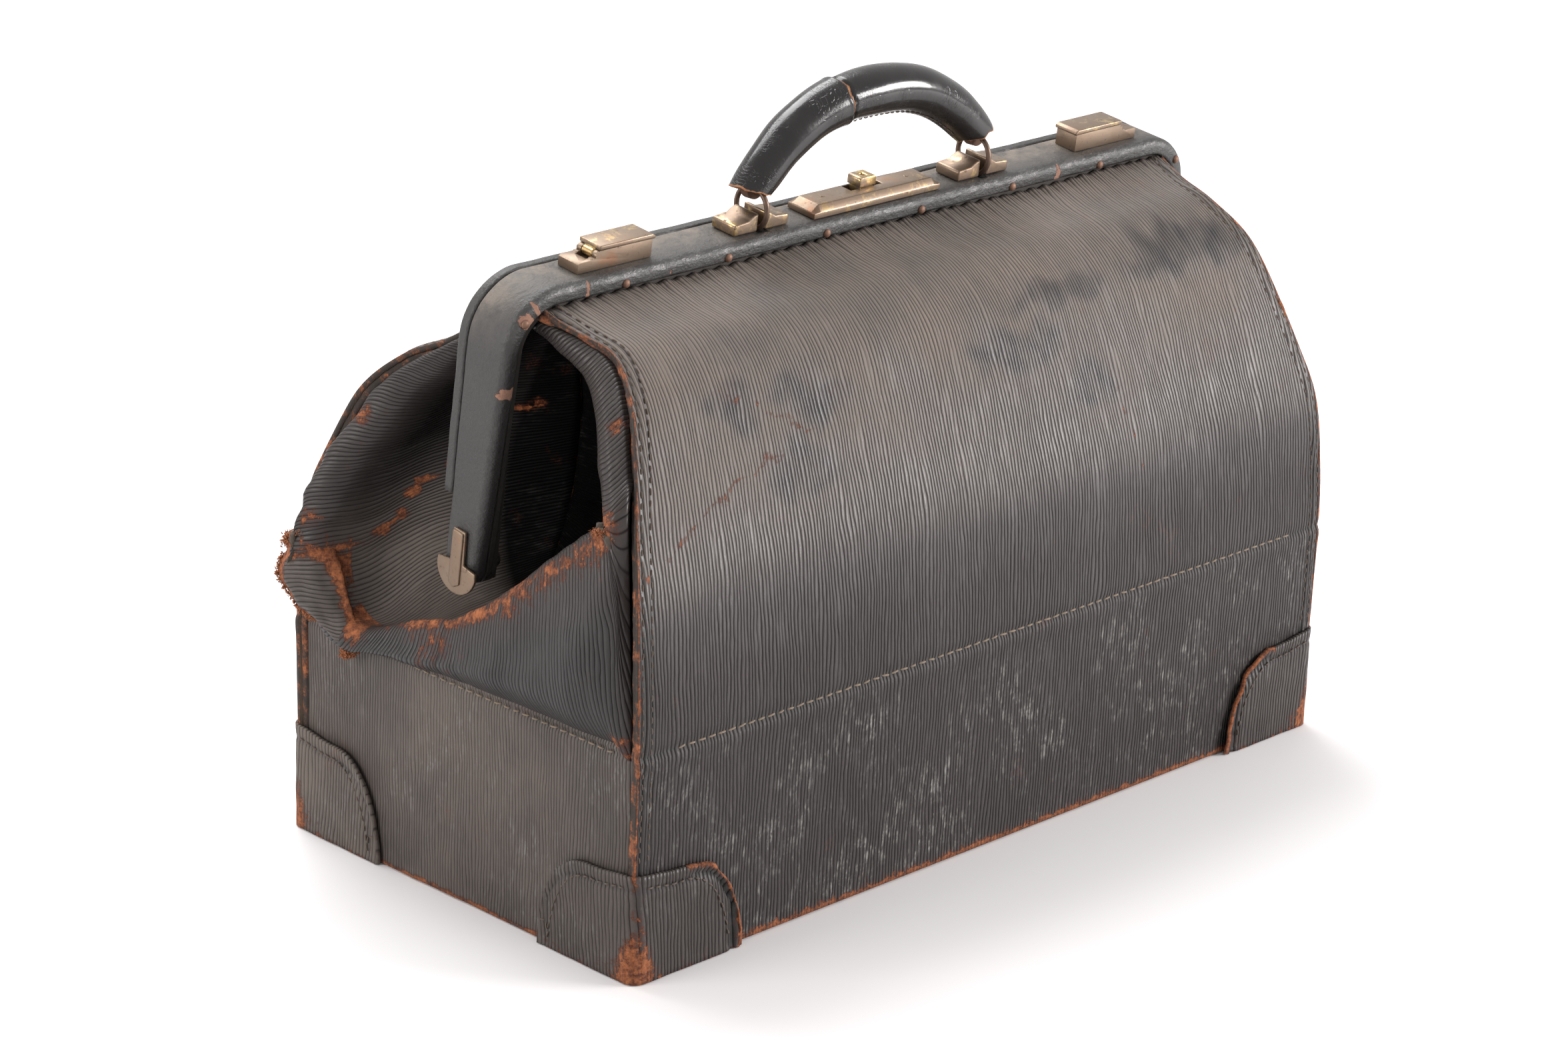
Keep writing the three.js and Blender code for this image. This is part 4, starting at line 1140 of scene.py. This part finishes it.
def patch_point(u, z, out, side, sign):
    """Wraps (u, z) round a lower corner at a distance out from the leather."""
    radius = PATCH_BEND + out
    x0, y0 = HALF_LENGTH + 0.2 - PATCH_BEND, HALF_DEPTH + 0.9 - PATCH_BEND
    bend = PATCH_BEND * math.pi / 2
    if u > bend / 2:
        a, b = x0 - (u - bend / 2), y0 + radius
    elif u < -bend / 2:
        a, b = x0 + radius, y0 + (u + bend / 2)
    else:
        angle = (u + bend / 2) / bend * math.pi / 2
        a, b = x0 + radius * math.cos(angle), y0 + radius * math.sin(angle)
    return (side * a, sign * b, z)


def make_patch(face, end, side, sign):
    """A stitched corner patch; the two at the front are torn along their outer edge."""
    ends = [1 - math.cos(t) for t in np.linspace(0, math.pi / 2, 26)]
    us = np.concatenate([[-PATCH_END * (1 - e) for e in ends][:-1], np.linspace(-2.5, 2.5, 7),
                         [PATCH_FRONT * (1 - e) for e in ends][:-1][::-1]])
    torn = face == "front"
    shares = np.linspace(0, 1, 24)
    grid, uv = np.empty((len(shares), len(us), 3)), np.empty((len(shares), len(us), 2))
    masks = blank_masks(uv.shape[:2], "wear", "dust", "stain_and_shade", "scuff")
    for j, u in enumerate(us):
        ragged = 1.6 * noise3(u, side * 9, sign, 5) if torn and u > 30 else 0.25 * noise3(u, 1, side, 4)
        top = max(0.8, patch_top(u) + ragged)
        for i, share in enumerate(shares):
            z = 0.5 + share * (top - 0.5)
            curve = ragged * 0.8 if u > 30 else 0
            lift = 0.35 * noise3(u, z, side + 3 * sign, 12) + 0.5
            rim = min(top - z, (PATCH_FRONT if u > 0 else PATCH_END) - abs(u))
            lift -= 0.5 * hump(rim - 5.8, 1.1) * (z > 2)
            gash = torn * unit((u - 27) / 5) * hump(rim - 3.6, 1.5)
            lift -= 1.5 * gash
            lift += (1.6 if torn and u > 25 else 0.5) * falloff(rim, 4) * (0.5 + noise3(u, z, 8, 9))
            grid[i, j] = patch_point(u + curve, z, lift + PATCH_THICK, side, sign)
            uv[i, j] = (u * 0.98 + 0.05 * z, z)
            corner = 0.85 * falloff(math.hypot(u, z * 0.8), 22) + 0.46 * falloff(abs(u), 7)
            edge = (0.75 if torn and u > 25 else 0.25) * falloff(rim, 4)
            masks["wear"][i, j] = max(corner, edge, 0.62 * falloff(z, 3.5), 0.42 * falloff(z, 14))
            masks["dust"][i, j] = 0.12 if u > 0 else 0.42 + 0.4 * (sign > 0)
            # painted shade in the torn gash, and a dark line along the stitch row
            masks["stain_and_shade"][i, j] = max(gash, 0.7 * hump(rim - 5.8, 0.8))
            masks["scuff"][i, j] = 0.3
    patch = grid_object(f"{face}_{end}_patch", grid, uv, masks, out=(side, sign, 0))
    thicken(patch, PATCH_THICK)
    dress(patch, "base", "body_leather", BODY, replaces=(f"{face}_{end}_corner_patch",))
    sew_patch(face, end, side, sign)


def sew_patch(face, end, side, sign):
    wings = ((-PATCH_END, -3, (side, 0, 0)), (PATCH_FRONT, 3, (0, sign, 0)))
    for number, (far, near, normal) in enumerate(wings, 1):
        width, path = abs(far), []
        for t in np.linspace(0.02, 1, 60):
            u = far + (near - far) * t
            wide_u = u * width / (width - PATCH_SEWN)
            z = patch_top(wide_u if abs(wide_u) < width else width) - PATCH_SEWN
            if z > 3:
                path.append(patch_point(u, z, PATCH_THICK + 0.55, side, sign))
        row = stitches(f"{face}_{end}_patch_stitches_{number}", path, [normal] * len(path), pitch=4.3,
                       length=2.9, radius=0.4)
        dress(row, "base", "body_leather", THREAD_DARK)


for face, sign in FACES:
    for end, side in SIDES:
        make_patch(face, end, side, sign)


# ------------------------------------------------------------------ frame covers
FRAME_CORNER, LEG_HALF = 27.0, 9.0              # the frame's corner radius, and a leg's half width
COVER, CORE, GAP = 7.6, 2.2, 0.3                # thickness of cover and steel, and the play between pieces
CORE_TOP = FRAME_TOP - COVER - GAP
BUTTON_SLOT, BUTTON_REAR, BUTTON_FRONT = 9.6, 3.2, -3.8      # the lock button's slot: half length, edges
HOOK_X = 143.5                                  # the catch hooks, from the middle of the fittings
STAPLE_FROM, STAPLE_TO = 19.4, 25.8             # room for the staple
PLATE_SLOT = 2.2                                # half width of a ring's gap


def arch_stations(bottom, spacing=3.0):
    """Stations along the frame's outer line: x, w and the outward direction there."""
    high, half = FRAME_TOP - FRAME_CORNER, FRAME_HALF - FRAME_CORNER
    leg = [(-FRAME_HALF, w, -1, 0) for w in np.arange(bottom, high, spacing)]
    bend = []
    for angle in np.linspace(180, 90, 18):
        c, s = math.cos(math.radians(angle)), math.sin(math.radians(angle))
        bend.append((-half + FRAME_CORNER * c, high + FRAME_CORNER * s, c, s))
    top = [(x, FRAME_TOP, 0, 1) for x in np.linspace(-half, half, 120)[1:-1]]
    mirrored = [(-x, w, -nx, nw) for x, w, nx, nw in (leg + bend)[::-1]]
    return leg + bend + top + mirrored


def edges_at(w, front, rear):
    """The cover tapers from its full width at the top to a round eye at the hinge."""
    share = unit(w / (FRAME_TOP - FRAME_CORNER))
    half = LEG_HALF if w >= 0 else math.sqrt(max(1.0, LEG_HALF ** 2 - w * w))
    if w < 0:
        return -half, min(half, rear) if rear < LEG_HALF else half
    return -LEG_HALF + (front + LEG_HALF) * share, LEG_HALF + (rear - LEG_HALF) * share


def rounded_band(v0, v1, depth, front_radius, rear_radius):
    """Cross-section of a cover, outer face first, as (v, n) with n measured outwards."""
    width = v1 - v0
    points = []
    corners = ((v0, 0, 180, 90, min(front_radius, width * 0.45, depth * 0.6)),
               (v1, 0, 90, 0, min(rear_radius, width * 0.3)),
               (v1, -depth, 0, -90, min(1.0, width * 0.2)), (v0, -depth, -90, -180, min(1.5, width * 0.2)))
    for v, n, a0, a1, r in corners:
        cv = v + r if v == v0 else v - r
        cn = n - r if n == 0 else n + r
        for angle in np.linspace(a0, a1, 7):
            points.append((cv + r * math.cos(math.radians(angle)), cn + r * math.sin(math.radians(angle))))
    return points


# Places on the front cover's edge where the leather has gone: x and w of the middle, and size.
FRONT_BARE = [((-203.5, 116), 5.5), ((-197, 121), 2.5), ((-209.5, 82), 4), ((-208, 97), 1.6),
              ((-168, 125), 1.8), ((-120, 125), 2.4), ((118, 125), 3.0)]


def frame_cover(name, front, rear, depth, bottom, front_radius, rear_radius):
    """One half's leather cover. The front one tapers to an eye at each end; the rear one is a plain band."""
    in_front = front < 0
    rings, masks = [], {"dust": [], "edge": [], "wear": []}
    for x, w, nx, nw in arch_stations(bottom):
        v0, v1 = edges_at(w, front, rear) if in_front else (front, rear)
        ring = []
        for k, (v, n) in enumerate(rounded_band(v0, v1, depth, front_radius, rear_radius)):
            n += 0.22 * noise3(x, v * 0.8, w, 11) + 0.10 * noise3(x, v, w, 4)
            v += 0.25 * noise3(x, w, 7, 15)
            ring.append(lean(x + nx * n, v, w + nw * n))
            on_top = max(0.0, nw) if n > -0.6 else 0.0
            masks["dust"].append(0.95 * on_top * unit((v - v0 - 3.5) / 4))
            # the edge mask places the painted highlight on the rounded front edge, strongest on the top bar
            masks["edge"].append(max(0.15, nw) if k in (1, 2, 3, 4, 5) else 0.0)
            bare = [hump(math.hypot(x - bx, w - bw), size) for (bx, bw), size in FRONT_BARE if in_front]
            masks["wear"].append(0.85 * falloff(max(0, v - v0), 9) * max(bare, default=0.0))
        rings.append(ring)
    return tube(name, rings, masks)


def block(name, x0, x1, v0, v1, w0, w1):
    return prism(name, [(x0, w0), (x1, w0), (x1, w1), (x0, w1)], "v", v0, v1)


def make_frame():
    cover = frame_cover("front_frame_leather", FRONT_EDGE, SPLIT, COVER, -LEG_HALF + 0.6, 3.8, 1.4)
    low, high = CORE_TOP - 1, FRAME_TOP - 5
    tools = [block("tool", FITTINGS_X - BUTTON_SLOT, FITTINGS_X + BUTTON_SLOT, BUTTON_FRONT, BUTTON_REAR,
                   low, FRAME_TOP + 2)]
    for _, side in SIDES:
        x = FITTINGS_X + side * RING_X
        tools.append(block("tool", x - PLATE_SLOT, x + PLATE_SLOT, -10, 5.2, FRAME_TOP - 2.6,
                           FRAME_TOP + 2))
        x = FITTINGS_X + side * HOOK_X
        tools.append(block("tool", x - 4, x + 4, -7, SPLIT + 2, low, high))
    tools.append(block("tool", FITTINGS_X + STAPLE_FROM, FITTINGS_X + STAPLE_TO, -5, SPLIT + 2, low, high))
    cut(cover, join("tools", tools))
    dress(cover, "front_frame", "frame_leather", FRAME_SKIN, replaces=("front_frame_cover",))
    rear = frame_cover("rear_frame_leather", SPLIT + GAP, REAR_EDGE, COVER + CORE, 30, 1.3, 3.0)
    dress(rear, "rear_frame", "frame_leather", FRAME_SKIN, replaces=("rear_frame_cover",))


make_frame()


# ------------------------------------------------------------------ brass fittings
BASE = FRAME_TOP + GAP
PIVOT_S, PIVOT_H = 29.5, 6.0                # a latch's lever pin, from its inner end and above the frame
LATCH_INNER, LATCH_LENGTH, LATCH_FRONT, LATCH_DEPTH = 131.5, 41.0, -8.1, 12.0
LATCH_LOW, LATCH_HIGH = 4.7, 8.0
LOCK_FRONT, LOCK_REAR, LOCK_EDGE, LOCK_TOP, LOCK_HALF = -11.5, 5.1, 2.7, 5.5, 39.0
ROD_SIDES = 20


def rod(name, radius, a, b, bevel=0.0):
    """A round bar between two points given along, across and up the frame."""
    a, b = np.array(lean(*a)), np.array(lean(*b))
    long = np.linalg.norm(b - a)
    axis = (b - a) / long
    one = np.cross(axis, (0.3, 0.8, 0.52))
    one /= np.linalg.norm(one)
    other = np.cross(axis, one)
    steps = [(0, radius - bevel), (bevel, radius), (long - bevel, radius), (long, radius - bevel)]
    if not bevel:
        steps = [(0, radius), (long, radius)]
    obj = sweep(name, [a + axis * s for s, _ in steps], [(one, other)] * len(steps),
                [circle(r, ROD_SIDES) for _, r in steps])
    return flat_edges(obj)


class Latch:
    """Measures of one latch, from its inner end outwards and up from the frame."""

    def __init__(self, side):
        self.side = side
        self.front, self.rear = LATCH_FRONT, LATCH_FRONT + LATCH_DEPTH
        self.middle = (self.front + self.rear) / 2

    def at(self, s):
        return FITTINGS_X + self.side * (LATCH_INNER + s)

    def line(self, points):
        return [(self.at(s), BASE + h) for s, h in points]

    def block(self, name, s0, s1, v0, v1, h0, h1):
        return block(name, *sorted((self.at(s0), self.at(s1))), v0, v1, BASE + h0, BASE + h1)

    def pin(self, name, radius, v0, v1, bevel=0.0):
        x, w = self.at(PIVOT_S), BASE + PIVOT_H
        return rod(name, radius, (x, v0, w), (x, v1, w), bevel)


def make_latch_base(name, latch):
    outline = [(0, 0), (LATCH_LENGTH, 0), (LATCH_LENGTH, LATCH_LOW - 0.7), (LATCH_LENGTH - 1, LATCH_LOW),
               (PIVOT_S + 4, LATCH_LOW), (PIVOT_S + 2.4, LATCH_HIGH - 1.5), (PIVOT_S, LATCH_HIGH),
               (0, LATCH_HIGH)]
    base = prism(f"{name}_latch_body", latch.line(outline), "v", latch.front, latch.rear)
    top = LATCH_HIGH + 2
    cut(base, latch.block("tool", PIVOT_S - 3, PIVOT_S + 5, latch.middle - 3.4, latch.middle + 3.4,
                          PIVOT_H - 2.6, top))
    room = latch.block("tool", PIVOT_S, PIVOT_S + 5, latch.front - 1, latch.rear + 1, PIVOT_H - 0.8, top)
    cut(base, cut(room, latch.pin("boss", 2.0, latch.front - 2, latch.rear + 2)))
    flat_edges(bevelled(base, 0.45, 2, 40))
    dress(base, "front_frame", "brass", BRASS_DULL, replaces=(f"{name}_latch_base",))


def make_latch_lid(name, latch):
    under, thick = LATCH_HIGH + GAP, 2.0
    outline = [(-1.3, under - 0.4), (PIVOT_S + 0.4, under), (PIVOT_S + 0.4, under + thick),
               (0.4, under + thick), (-1.3, under + thick - 1.0)]
    plate = prism("plate", latch.line(outline), "v", latch.front - 0.5, latch.rear + 0.5, bevel=0.5)
    flat_edges(plate)
    knuckle = latch.pin("knuckle", 2.1, latch.middle - 3.1, latch.middle + 3.1, bevel=0.4)
    web = latch.block("web", PIVOT_S - 1.8, PIVOT_S + 0.4, latch.middle - 3.1, latch.middle + 3.1,
                      PIVOT_H, under + 0.4)
    pieces = [paint(plate, BRASS), paint(knuckle, BRASS_BRIGHT), paint(web, BRASS_BRIGHT)]
    lid = join(f"{name}_latch_lid", pieces)
    dress(lid, f"{name}_lever", "brass", replaces=(f"{name}_latch_lever",))


def make_latches():
    for name, side in SIDES:
        latch = Latch(side)
        make_latch_base(name, latch)
        make_latch_lid(name, latch)


def make_lock_cover():
    section = [(LOCK_FRONT, 0), (LOCK_REAR, 0), (LOCK_REAR, LOCK_EDGE), (LOCK_REAR - 2.4, LOCK_TOP),
               (LOCK_FRONT + 2.4, LOCK_TOP), (LOCK_FRONT, LOCK_EDGE)]
    rings = []
    for x, top in ((-LOCK_HALF, LOCK_EDGE), (4 - LOCK_HALF, LOCK_TOP), (LOCK_HALF - 4, LOCK_TOP),
                   (LOCK_HALF, LOCK_EDGE)):
        rings.append([lean(FITTINGS_X + x, v, BASE + min(h, top)) for v, h in section])
    plate = tube("lock_cover", rings)
    cut(plate, block("tool", FITTINGS_X - BUTTON_SLOT, FITTINGS_X + BUTTON_SLOT, BUTTON_FRONT, BUTTON_REAR,
                     BASE - 2, BASE + LOCK_TOP + 2))
    flat_edges(bevelled(plate, 0.7, 3, 14))
    dress(plate, "front_frame", "brass", BRASS, replaces=("lock_plate",))
    for number, x in enumerate((-26, 26), 1):
        pin = rod(f"lock_rivet_{number}", 1.3, (FITTINGS_X + x, -2.5, BASE + LOCK_TOP - 1),
                  (FITTINGS_X + x, -2.5, BASE + LOCK_TOP + 0.25), bevel=0.3)
        dress(pin, "front_frame", "brass", BRASS_DULL)


def make_lock_button():
    stem = block("stem", FITTINGS_X - 4, FITTINGS_X + 4, -3.5, 2.9, FRAME_TOP - 5.3, BASE + LOCK_TOP + 1)
    outline = [(-5, GAP), (5, GAP), (5, 4.0), (4.2, 4.8), (-4.2, 4.8), (-5, 4.0)]
    head = prism("head", [(FITTINGS_X + x, BASE + LOCK_TOP + h) for x, h in outline], "v", -4.3, 3.7)
    cut(head, block("tool", FITTINGS_X - 1.0, FITTINGS_X + 1.0, -1.9, 1.1, BASE + LOCK_TOP + 2.8,
                    BASE + LOCK_TOP + 6))
    pieces = [paint(bevelled(head, 0.45, 2), BRASS_BRIGHT), paint(stem, BRASS_BRIGHT)]
    button = flat_edges(join("lock_slide_button", pieces))
    dress(button, "lock_slider", "brass", replaces=("lock_button",))


def make_handle_plates():
    """Low humped plates with a gap for the ring and the bar that it turns on."""
    half, depth, low, hump_top, v = 16.0, 7.0, 5.5, 8.0, -2.4
    side_line = [(-half, 0), (half, 0), (half, 4.6), (half - 1, 5.0), (half - 8, low)]
    crest = [(half - 8 - 6 * t, low + (hump_top - low) * math.sin(t * math.pi / 2))
             for t in np.linspace(0.2, 1, 5)]
    left = [(-x, h) for x, h in (side_line[2:] + crest)][::-1]
    for name, side in SIDES:
        x0 = FITTINGS_X + side * RING_X
        outline = [(x0 + x, BASE + h) for x, h in side_line + crest + left]
        plate = prism(f"{name}_handle_mount", outline, "v", v - depth, v + depth)
        cut(plate, block("tool", x0 - PLATE_SLOT, x0 + PLATE_SLOT, v - 10, v + 10, BASE - 2, BASE + 12))
        flat_edges(bevelled(plate, 0.8, 3, 40), 50)
        bar = rod("bar", 1.1, (x0 - 3, v, FRAME_TOP + 1.9), (x0 + 3, v, FRAME_TOP + 1.9))
        pieces = [paint(plate, BRASS_RUBBED if side < 0 else BRASS), paint(bar, BRASS)]
        mount = join(f"{name}_handle_mount", pieces)
        dress(mount, "front_frame", "brass", replaces=(f"{name}_handle_plate",))


def make_hinge_caps():
    """Anchor-shaped brass plates over the frame's eyes, each with a raised stem."""
    arc_line = [(12 * math.cos(a), 12 * math.sin(a)) for a in np.linspace(math.pi, 2 * math.pi, 20)]
    anchor = [(4.2, 2.2), (3.7, 17), (-3.7, 17), (-4.2, 2.2), (-11.6, 1.2)] + arc_line[1:-1] + [(11.6, 1.2)]
    stem_line = [(3.3, -7), (3.2, 16.4), (-3.2, 16.4), (-3.3, -7), (0, -9)]
    for name, side in SIDES:
        x = side * (FRAME_HALF + GAP)
        plate = prism("anchor", anchor, "x", x, x + side * 1.6, bevel=0.5)
        stem = prism("stem", stem_line, "x", x, x + side * 2.5, bevel=0.6)
        cap = join(f"{name}_hinge_plate", [paint(plate, BRASS_DULL), paint(stem, BRASS_DULL)])
        dress(flat_edges(cap, 50), "front_frame", "brass", replaces=(f"{name}_hinge_cap",))


def make_tacks():
    """Domed heads, each tilted a little its own way."""
    profile = [(0.0, 1.15), (0.8, 1.08), (1.4, 0.8), (1.8, 0.35), (2.0, 0.0), (1.9, -0.4)]
    forward = Vector(lean(0, -1, 0)) - Vector(lean(0, 0, 0))
    for end, _ in SIDES:
        for key in ("1", "2", "3", "corner"):
            node = f"{end}_tack_{key}"
            at = middle(node)
            wobble = Vector((noise3(at.x, 1, 1, 7), noise3(at.x, 5, 2, 7), 0)) * 0.12
            out = (forward + wobble).normalized()
            one = out.cross(Vector((0, 0, 1))).normalized()
            other = out.cross(one)
            base = Vector(at) - out * 0.7
            rings = [[tuple(base + out * h + (one * math.cos(a) + other * math.sin(a)) * max(r, 0.02))
                      for a in np.linspace(0, 2 * math.pi, 14, endpoint=False)] for r, h in profile]
            dress(tube(f"{node}_head", rings), "front_frame", "tack", TACK, replaces=(node,))


make_latches()
make_lock_cover()
make_lock_button()
make_handle_plates()
make_hinge_caps()
make_tacks()


# ------------------------------------------------------------------ handle
APEX, ARCH_POWER = 39.5, 2.5        # the arch of the grip's middle line, up from the rings' centres
GRIP_R, GRIP_END_R, GRIP_THICK = 11.0, 8.9, 2.0
GRIP_LEFT, GRIP_RIGHT = 73.0, 70.5   # the grip's ends, along the bag from its middle
GRIP_FLAT = 0.94                    # its underside is a little flattened
CRACK_AT = 0.40                     # along the grip from its left end
TORN_SHARE = 0.09                   # the part of the grip's length where its open end runs back
WIRE_R, RING_STEPS, WIRE_SIDES = 1.2, 72, 14


def arch_height(x):
    return APEX - (APEX - RING_R) * (abs(x) / RING_X) ** ARCH_POWER


def grip_frame(t):
    """Centre of the grip and its upward direction at t from left to right."""
    x = (GRIP_LEFT + GRIP_RIGHT) * t - GRIP_LEFT
    rise = (arch_height(x + 0.1) - arch_height(x - 0.1)) / 0.2
    up = Vector((-rise, 0, 1)).normalized()
    return Vector((FITTINGS_X + x, RING[1], RING[2] + arch_height(x))), up


def grip_radius(share):
    return GRIP_END_R + (GRIP_R - GRIP_END_R) * math.sin(math.pi * share) ** 0.8


def even_ts(count):
    """Places at even distances along the grip, and its length."""
    ts = np.linspace(0, 1, 400)
    run = run_of(np.array([grip_frame(t)[0] for t in ts]))
    return np.interp(np.linspace(0, run[-1], count), run, ts), run[-1]


def torn_shift(share, angle, length):
    """How far the ragged edge of an open end lies back along the grip."""
    if TORN_SHARE <= share <= 1 - TORN_SHARE:
        return 0.0
    ragged = 1.5 * noise3(math.cos(angle) * 3, math.sin(angle) * 3, share > 0.5, 1.4)
    open_side = 7.5 * (0.5 - 0.5 * math.sin(angle)) ** 1.2 + 1.2
    pull = max(0, 1 - min(share, 1 - share) / TORN_SHARE)
    return (ragged + open_side) * pull / length * (1 if share < 0.5 else -1)


def make_grip(ts, length):
    """The rolled leather: a swelling tube with a crack across it and a seam along its underside."""
    count, around = len(ts), 56
    shape = (count, around + 1)
    grid, uv, wear = np.empty(shape + (3,)), np.empty(shape + (2,)), np.zeros(shape)
    for i in range(count):
        share = i / (count - 1)
        rim = min(share, 1 - share) * length
        for j in range(around + 1):
            angle = 2 * math.pi * j / around - math.pi / 2      # starts at the underside
            c, s = math.cos(angle), math.sin(angle)
            place = share + torn_shift(share, angle, length)
            centre, up = grip_frame(float(np.interp(place, np.linspace(0, 1, count), ts)))
            crack = CRACK_AT + (1.5 * noise3(c * 5, s * 5, 2, 3) - 0.8) / length
            away = (share - crack) * length
            deep = hump(away, 1.1) * (1 if math.sin(angle - 0.6) > -0.55 else 0.2)
            swell = 0.35 * noise3(share * length, c * 8, s * 8, 16)
            step = 1.1 * (1 / (1 + math.exp(away * 2)) - 0.5)
            swell += step * hump(away, 9) + 0.35 * hump(away + 1.6, 1.0)
            under = hump(angle + math.pi / 2, 0.16) + hump(angle - 1.5 * math.pi, 0.16)
            r = grip_radius(share) + swell - 1.7 * deep + 0.9 * under
            flat = GRIP_FLAT if s < 0 else 1.0
            grid[i, j] = centre + Vector((0, 1, 0)) * r * c + up * r * s * flat
            uv[i, j] = (share * length, angle * GRIP_R)
            wear[i, j] = max(0.95 * deep, 0.8 * falloff(rim, 2.4), 0.25 * under)
    grip = grid_object("handle_leather_grip", grid, uv, {"wear": wear})
    first = grip.data.polygons[0]
    if (np.array(first.center) / MM - grid[0].mean(axis=0)) @ np.array(first.normal) < 0:
        grip.data.flip_normals()
    modify(grip, "WELD", merge_threshold=0.02 * MM)
    thicken(paint(grip, GRIP, CORE_LEATHER, RAW), GRIP_THICK)
    dress(grip, "handle", "handle_leather", replaces=("handle_grip",))


def sew_grip(ts):
    path, normals = [], []
    for t in ts[22:-22]:
        centre, up = grip_frame(t)
        path.append(np.array(centre - up * (grip_radius(t) * GRIP_FLAT + 0.3)) + np.array([0, -2.2, 0]))
        normals.append(tuple(-up))
    seam = stitches("handle_stitches", path, normals, pitch=3.2, length=2.5, radius=0.32)
    dress(seam, "handle", "handle_leather", THREAD_DARK)


def make_rings():
    for name, side in SIDES:
        x0 = FITTINGS_X + side * RING_X
        points, faces = [], []
        for i in range(RING_STEPS):
            a = 2 * math.pi * i / RING_STEPS
            radial = np.array([0, math.sin(a), math.cos(a)])
            centre = np.array([x0, RING[1] + RING_R * radial[1], RING[2] + RING_R * radial[2]])
            wire = WIRE_R + 0.06 * noise3(a * 6, side, 2, 1.1)
            points += [centre + radial * c + np.array([s, 0, 0]) for c, s in circle(wire, WIRE_SIDES)]
            here, there = i * WIRE_SIDES, (i + 1) % RING_STEPS * WIRE_SIDES
            for j in range(WIRE_SIDES):
                k = (j + 1) % WIRE_SIDES
                faces.append((here + j, here + k, there + k, there + j))
        ring = mesh_object(f"{name}_wire_ring", points, faces)
        outward(ring)
        dress(ring, "ring_pair", "ring_wire", WIRE, replaces=(f"{name}_handle_ring",))


grip_ts, grip_length = even_ts(230)
make_grip(grip_ts, grip_length)
sew_grip(grip_ts)
make_rings()


# ------------------------------------------------------------------ CAD pieces kept as they are
KEPT = {BOARD: ("bottom_board", "front_board", "rear_board", "left_board", "right_board"),
        LINING: ("lining",),
        DARK_STEEL: ("front_frame_core", "rear_frame_core"),
        STEEL: ("left_hinge_pin", "right_hinge_pin", "left_latch_pin",
                "right_latch_pin", "left_catch_hook", "right_catch_hook", "lock_bolt", "lock_staple"),
        CORE_LEATHER: ("handle_core",)}
for material, nodes in KEPT.items():
    for node in nodes:
        obj = bpy.data.objects[node]
        obj.data.materials.clear()
        paint(obj, material)


BOTTOM_THICK = 2.0


def make_bottom():
    """The bottom leather, with the worn edge that the bag slides on."""
    long, deep = 214.2, 105.6
    xs, ys = np.linspace(-long, long, 90), np.linspace(-deep, deep, 46)

    def near_edge(x, y, width):
        return max(falloff(long - abs(x), width), falloff(deep - abs(y), width))

    grid = np.array([[(x, y, 0.1 + 0.5 * near_edge(x, y, 3)) for x in xs] for y in ys])
    wear = np.array([[0.12 + 0.5 * near_edge(x, y, 8) for x in xs] for y in ys])
    masks = {"wear": wear, "dust": np.full(wear.shape, 0.3)}
    sheet = grid_object("bottom_leather", grid, grid[..., :2], masks, out=(0, 0, -1))
    thicken(sheet, BOTTOM_THICK)
    dress(sheet, "base", "body_leather", BODY, replaces=("bottom_panel",))


make_bottom()

# ------------------------------------------------------------------ camera, light and floor
CAMERA_AT = (-1.372, -1.319, 0.8095)
CAMERA_TURN = (-45.55, 19.92, 1.97)         # around, above and roll, in degrees
CAMERA_LENS = 104.4


def make_camera():
    around, above, roll = (math.radians(a) for a in CAMERA_TURN)
    level = math.cos(above)
    back = Vector((math.sin(around) * level, -math.cos(around) * level, math.sin(above)))
    right = Vector((math.cos(around), math.sin(around), 0))
    up = back.cross(right)
    right, up = math.cos(roll) * right + math.sin(roll) * up, math.cos(roll) * up - math.sin(roll) * right
    data = bpy.data.cameras.new("camera")
    data.lens = CAMERA_LENS
    data.sensor_width = 36
    data.clip_end = 50
    camera = bpy.data.objects.new("camera", data)
    bpy.context.scene.collection.objects.link(camera)
    turn = Matrix((right, up, back)).transposed().to_4x4()
    camera.matrix_world = Matrix.Translation(CAMERA_AT) @ turn
    bpy.context.scene.camera = camera


def area_light(name, at, target, size, power, colour):
    data = bpy.data.lights.new(name, "AREA")
    data.shape = "RECTANGLE"
    data.size, data.size_y = size
    data.energy = power
    data.color = colour
    light = bpy.data.objects.new(name, data)
    bpy.context.scene.collection.objects.link(light)
    light.location = at
    light.rotation_euler = (Vector(target) - Vector(at)).to_track_quat("-Z", "Y").to_euler()


def make_studio():
    scene = bpy.context.scene
    world = bpy.data.worlds.new("studio")
    scene.world = world
    world.use_nodes = True
    background = world.node_tree.nodes["Background"]
    background.inputs[0].default_value = (1.0, 0.985, 0.98, 1)
    background.inputs[1].default_value = 0.92
    scene.view_settings.view_transform = "Standard"
    area_light("key", (2.0, -2.1, 0.85), (0, 0, 0.18), (1.3, 0.8), 122, (1.0, 0.97, 0.965))
    area_light("top", (0.2, 1.2, 2.0), (0, 0.1, 0.1), (1.8, 1.2), 62, (1, 1, 1))
    area_light("left", (-2.3, 0.7, 0.9), (0, 0, 0.12), (1.3, 1.0), 36, (1.0, 0.96, 0.94))
    bpy.ops.mesh.primitive_plane_add(size=14)
    floor = bpy.context.object
    floor.name = "floor"
    paint(floor, Graph("floor").finish((0.70, 0.69, 0.695), 0.6))


make_camera()
make_studio()
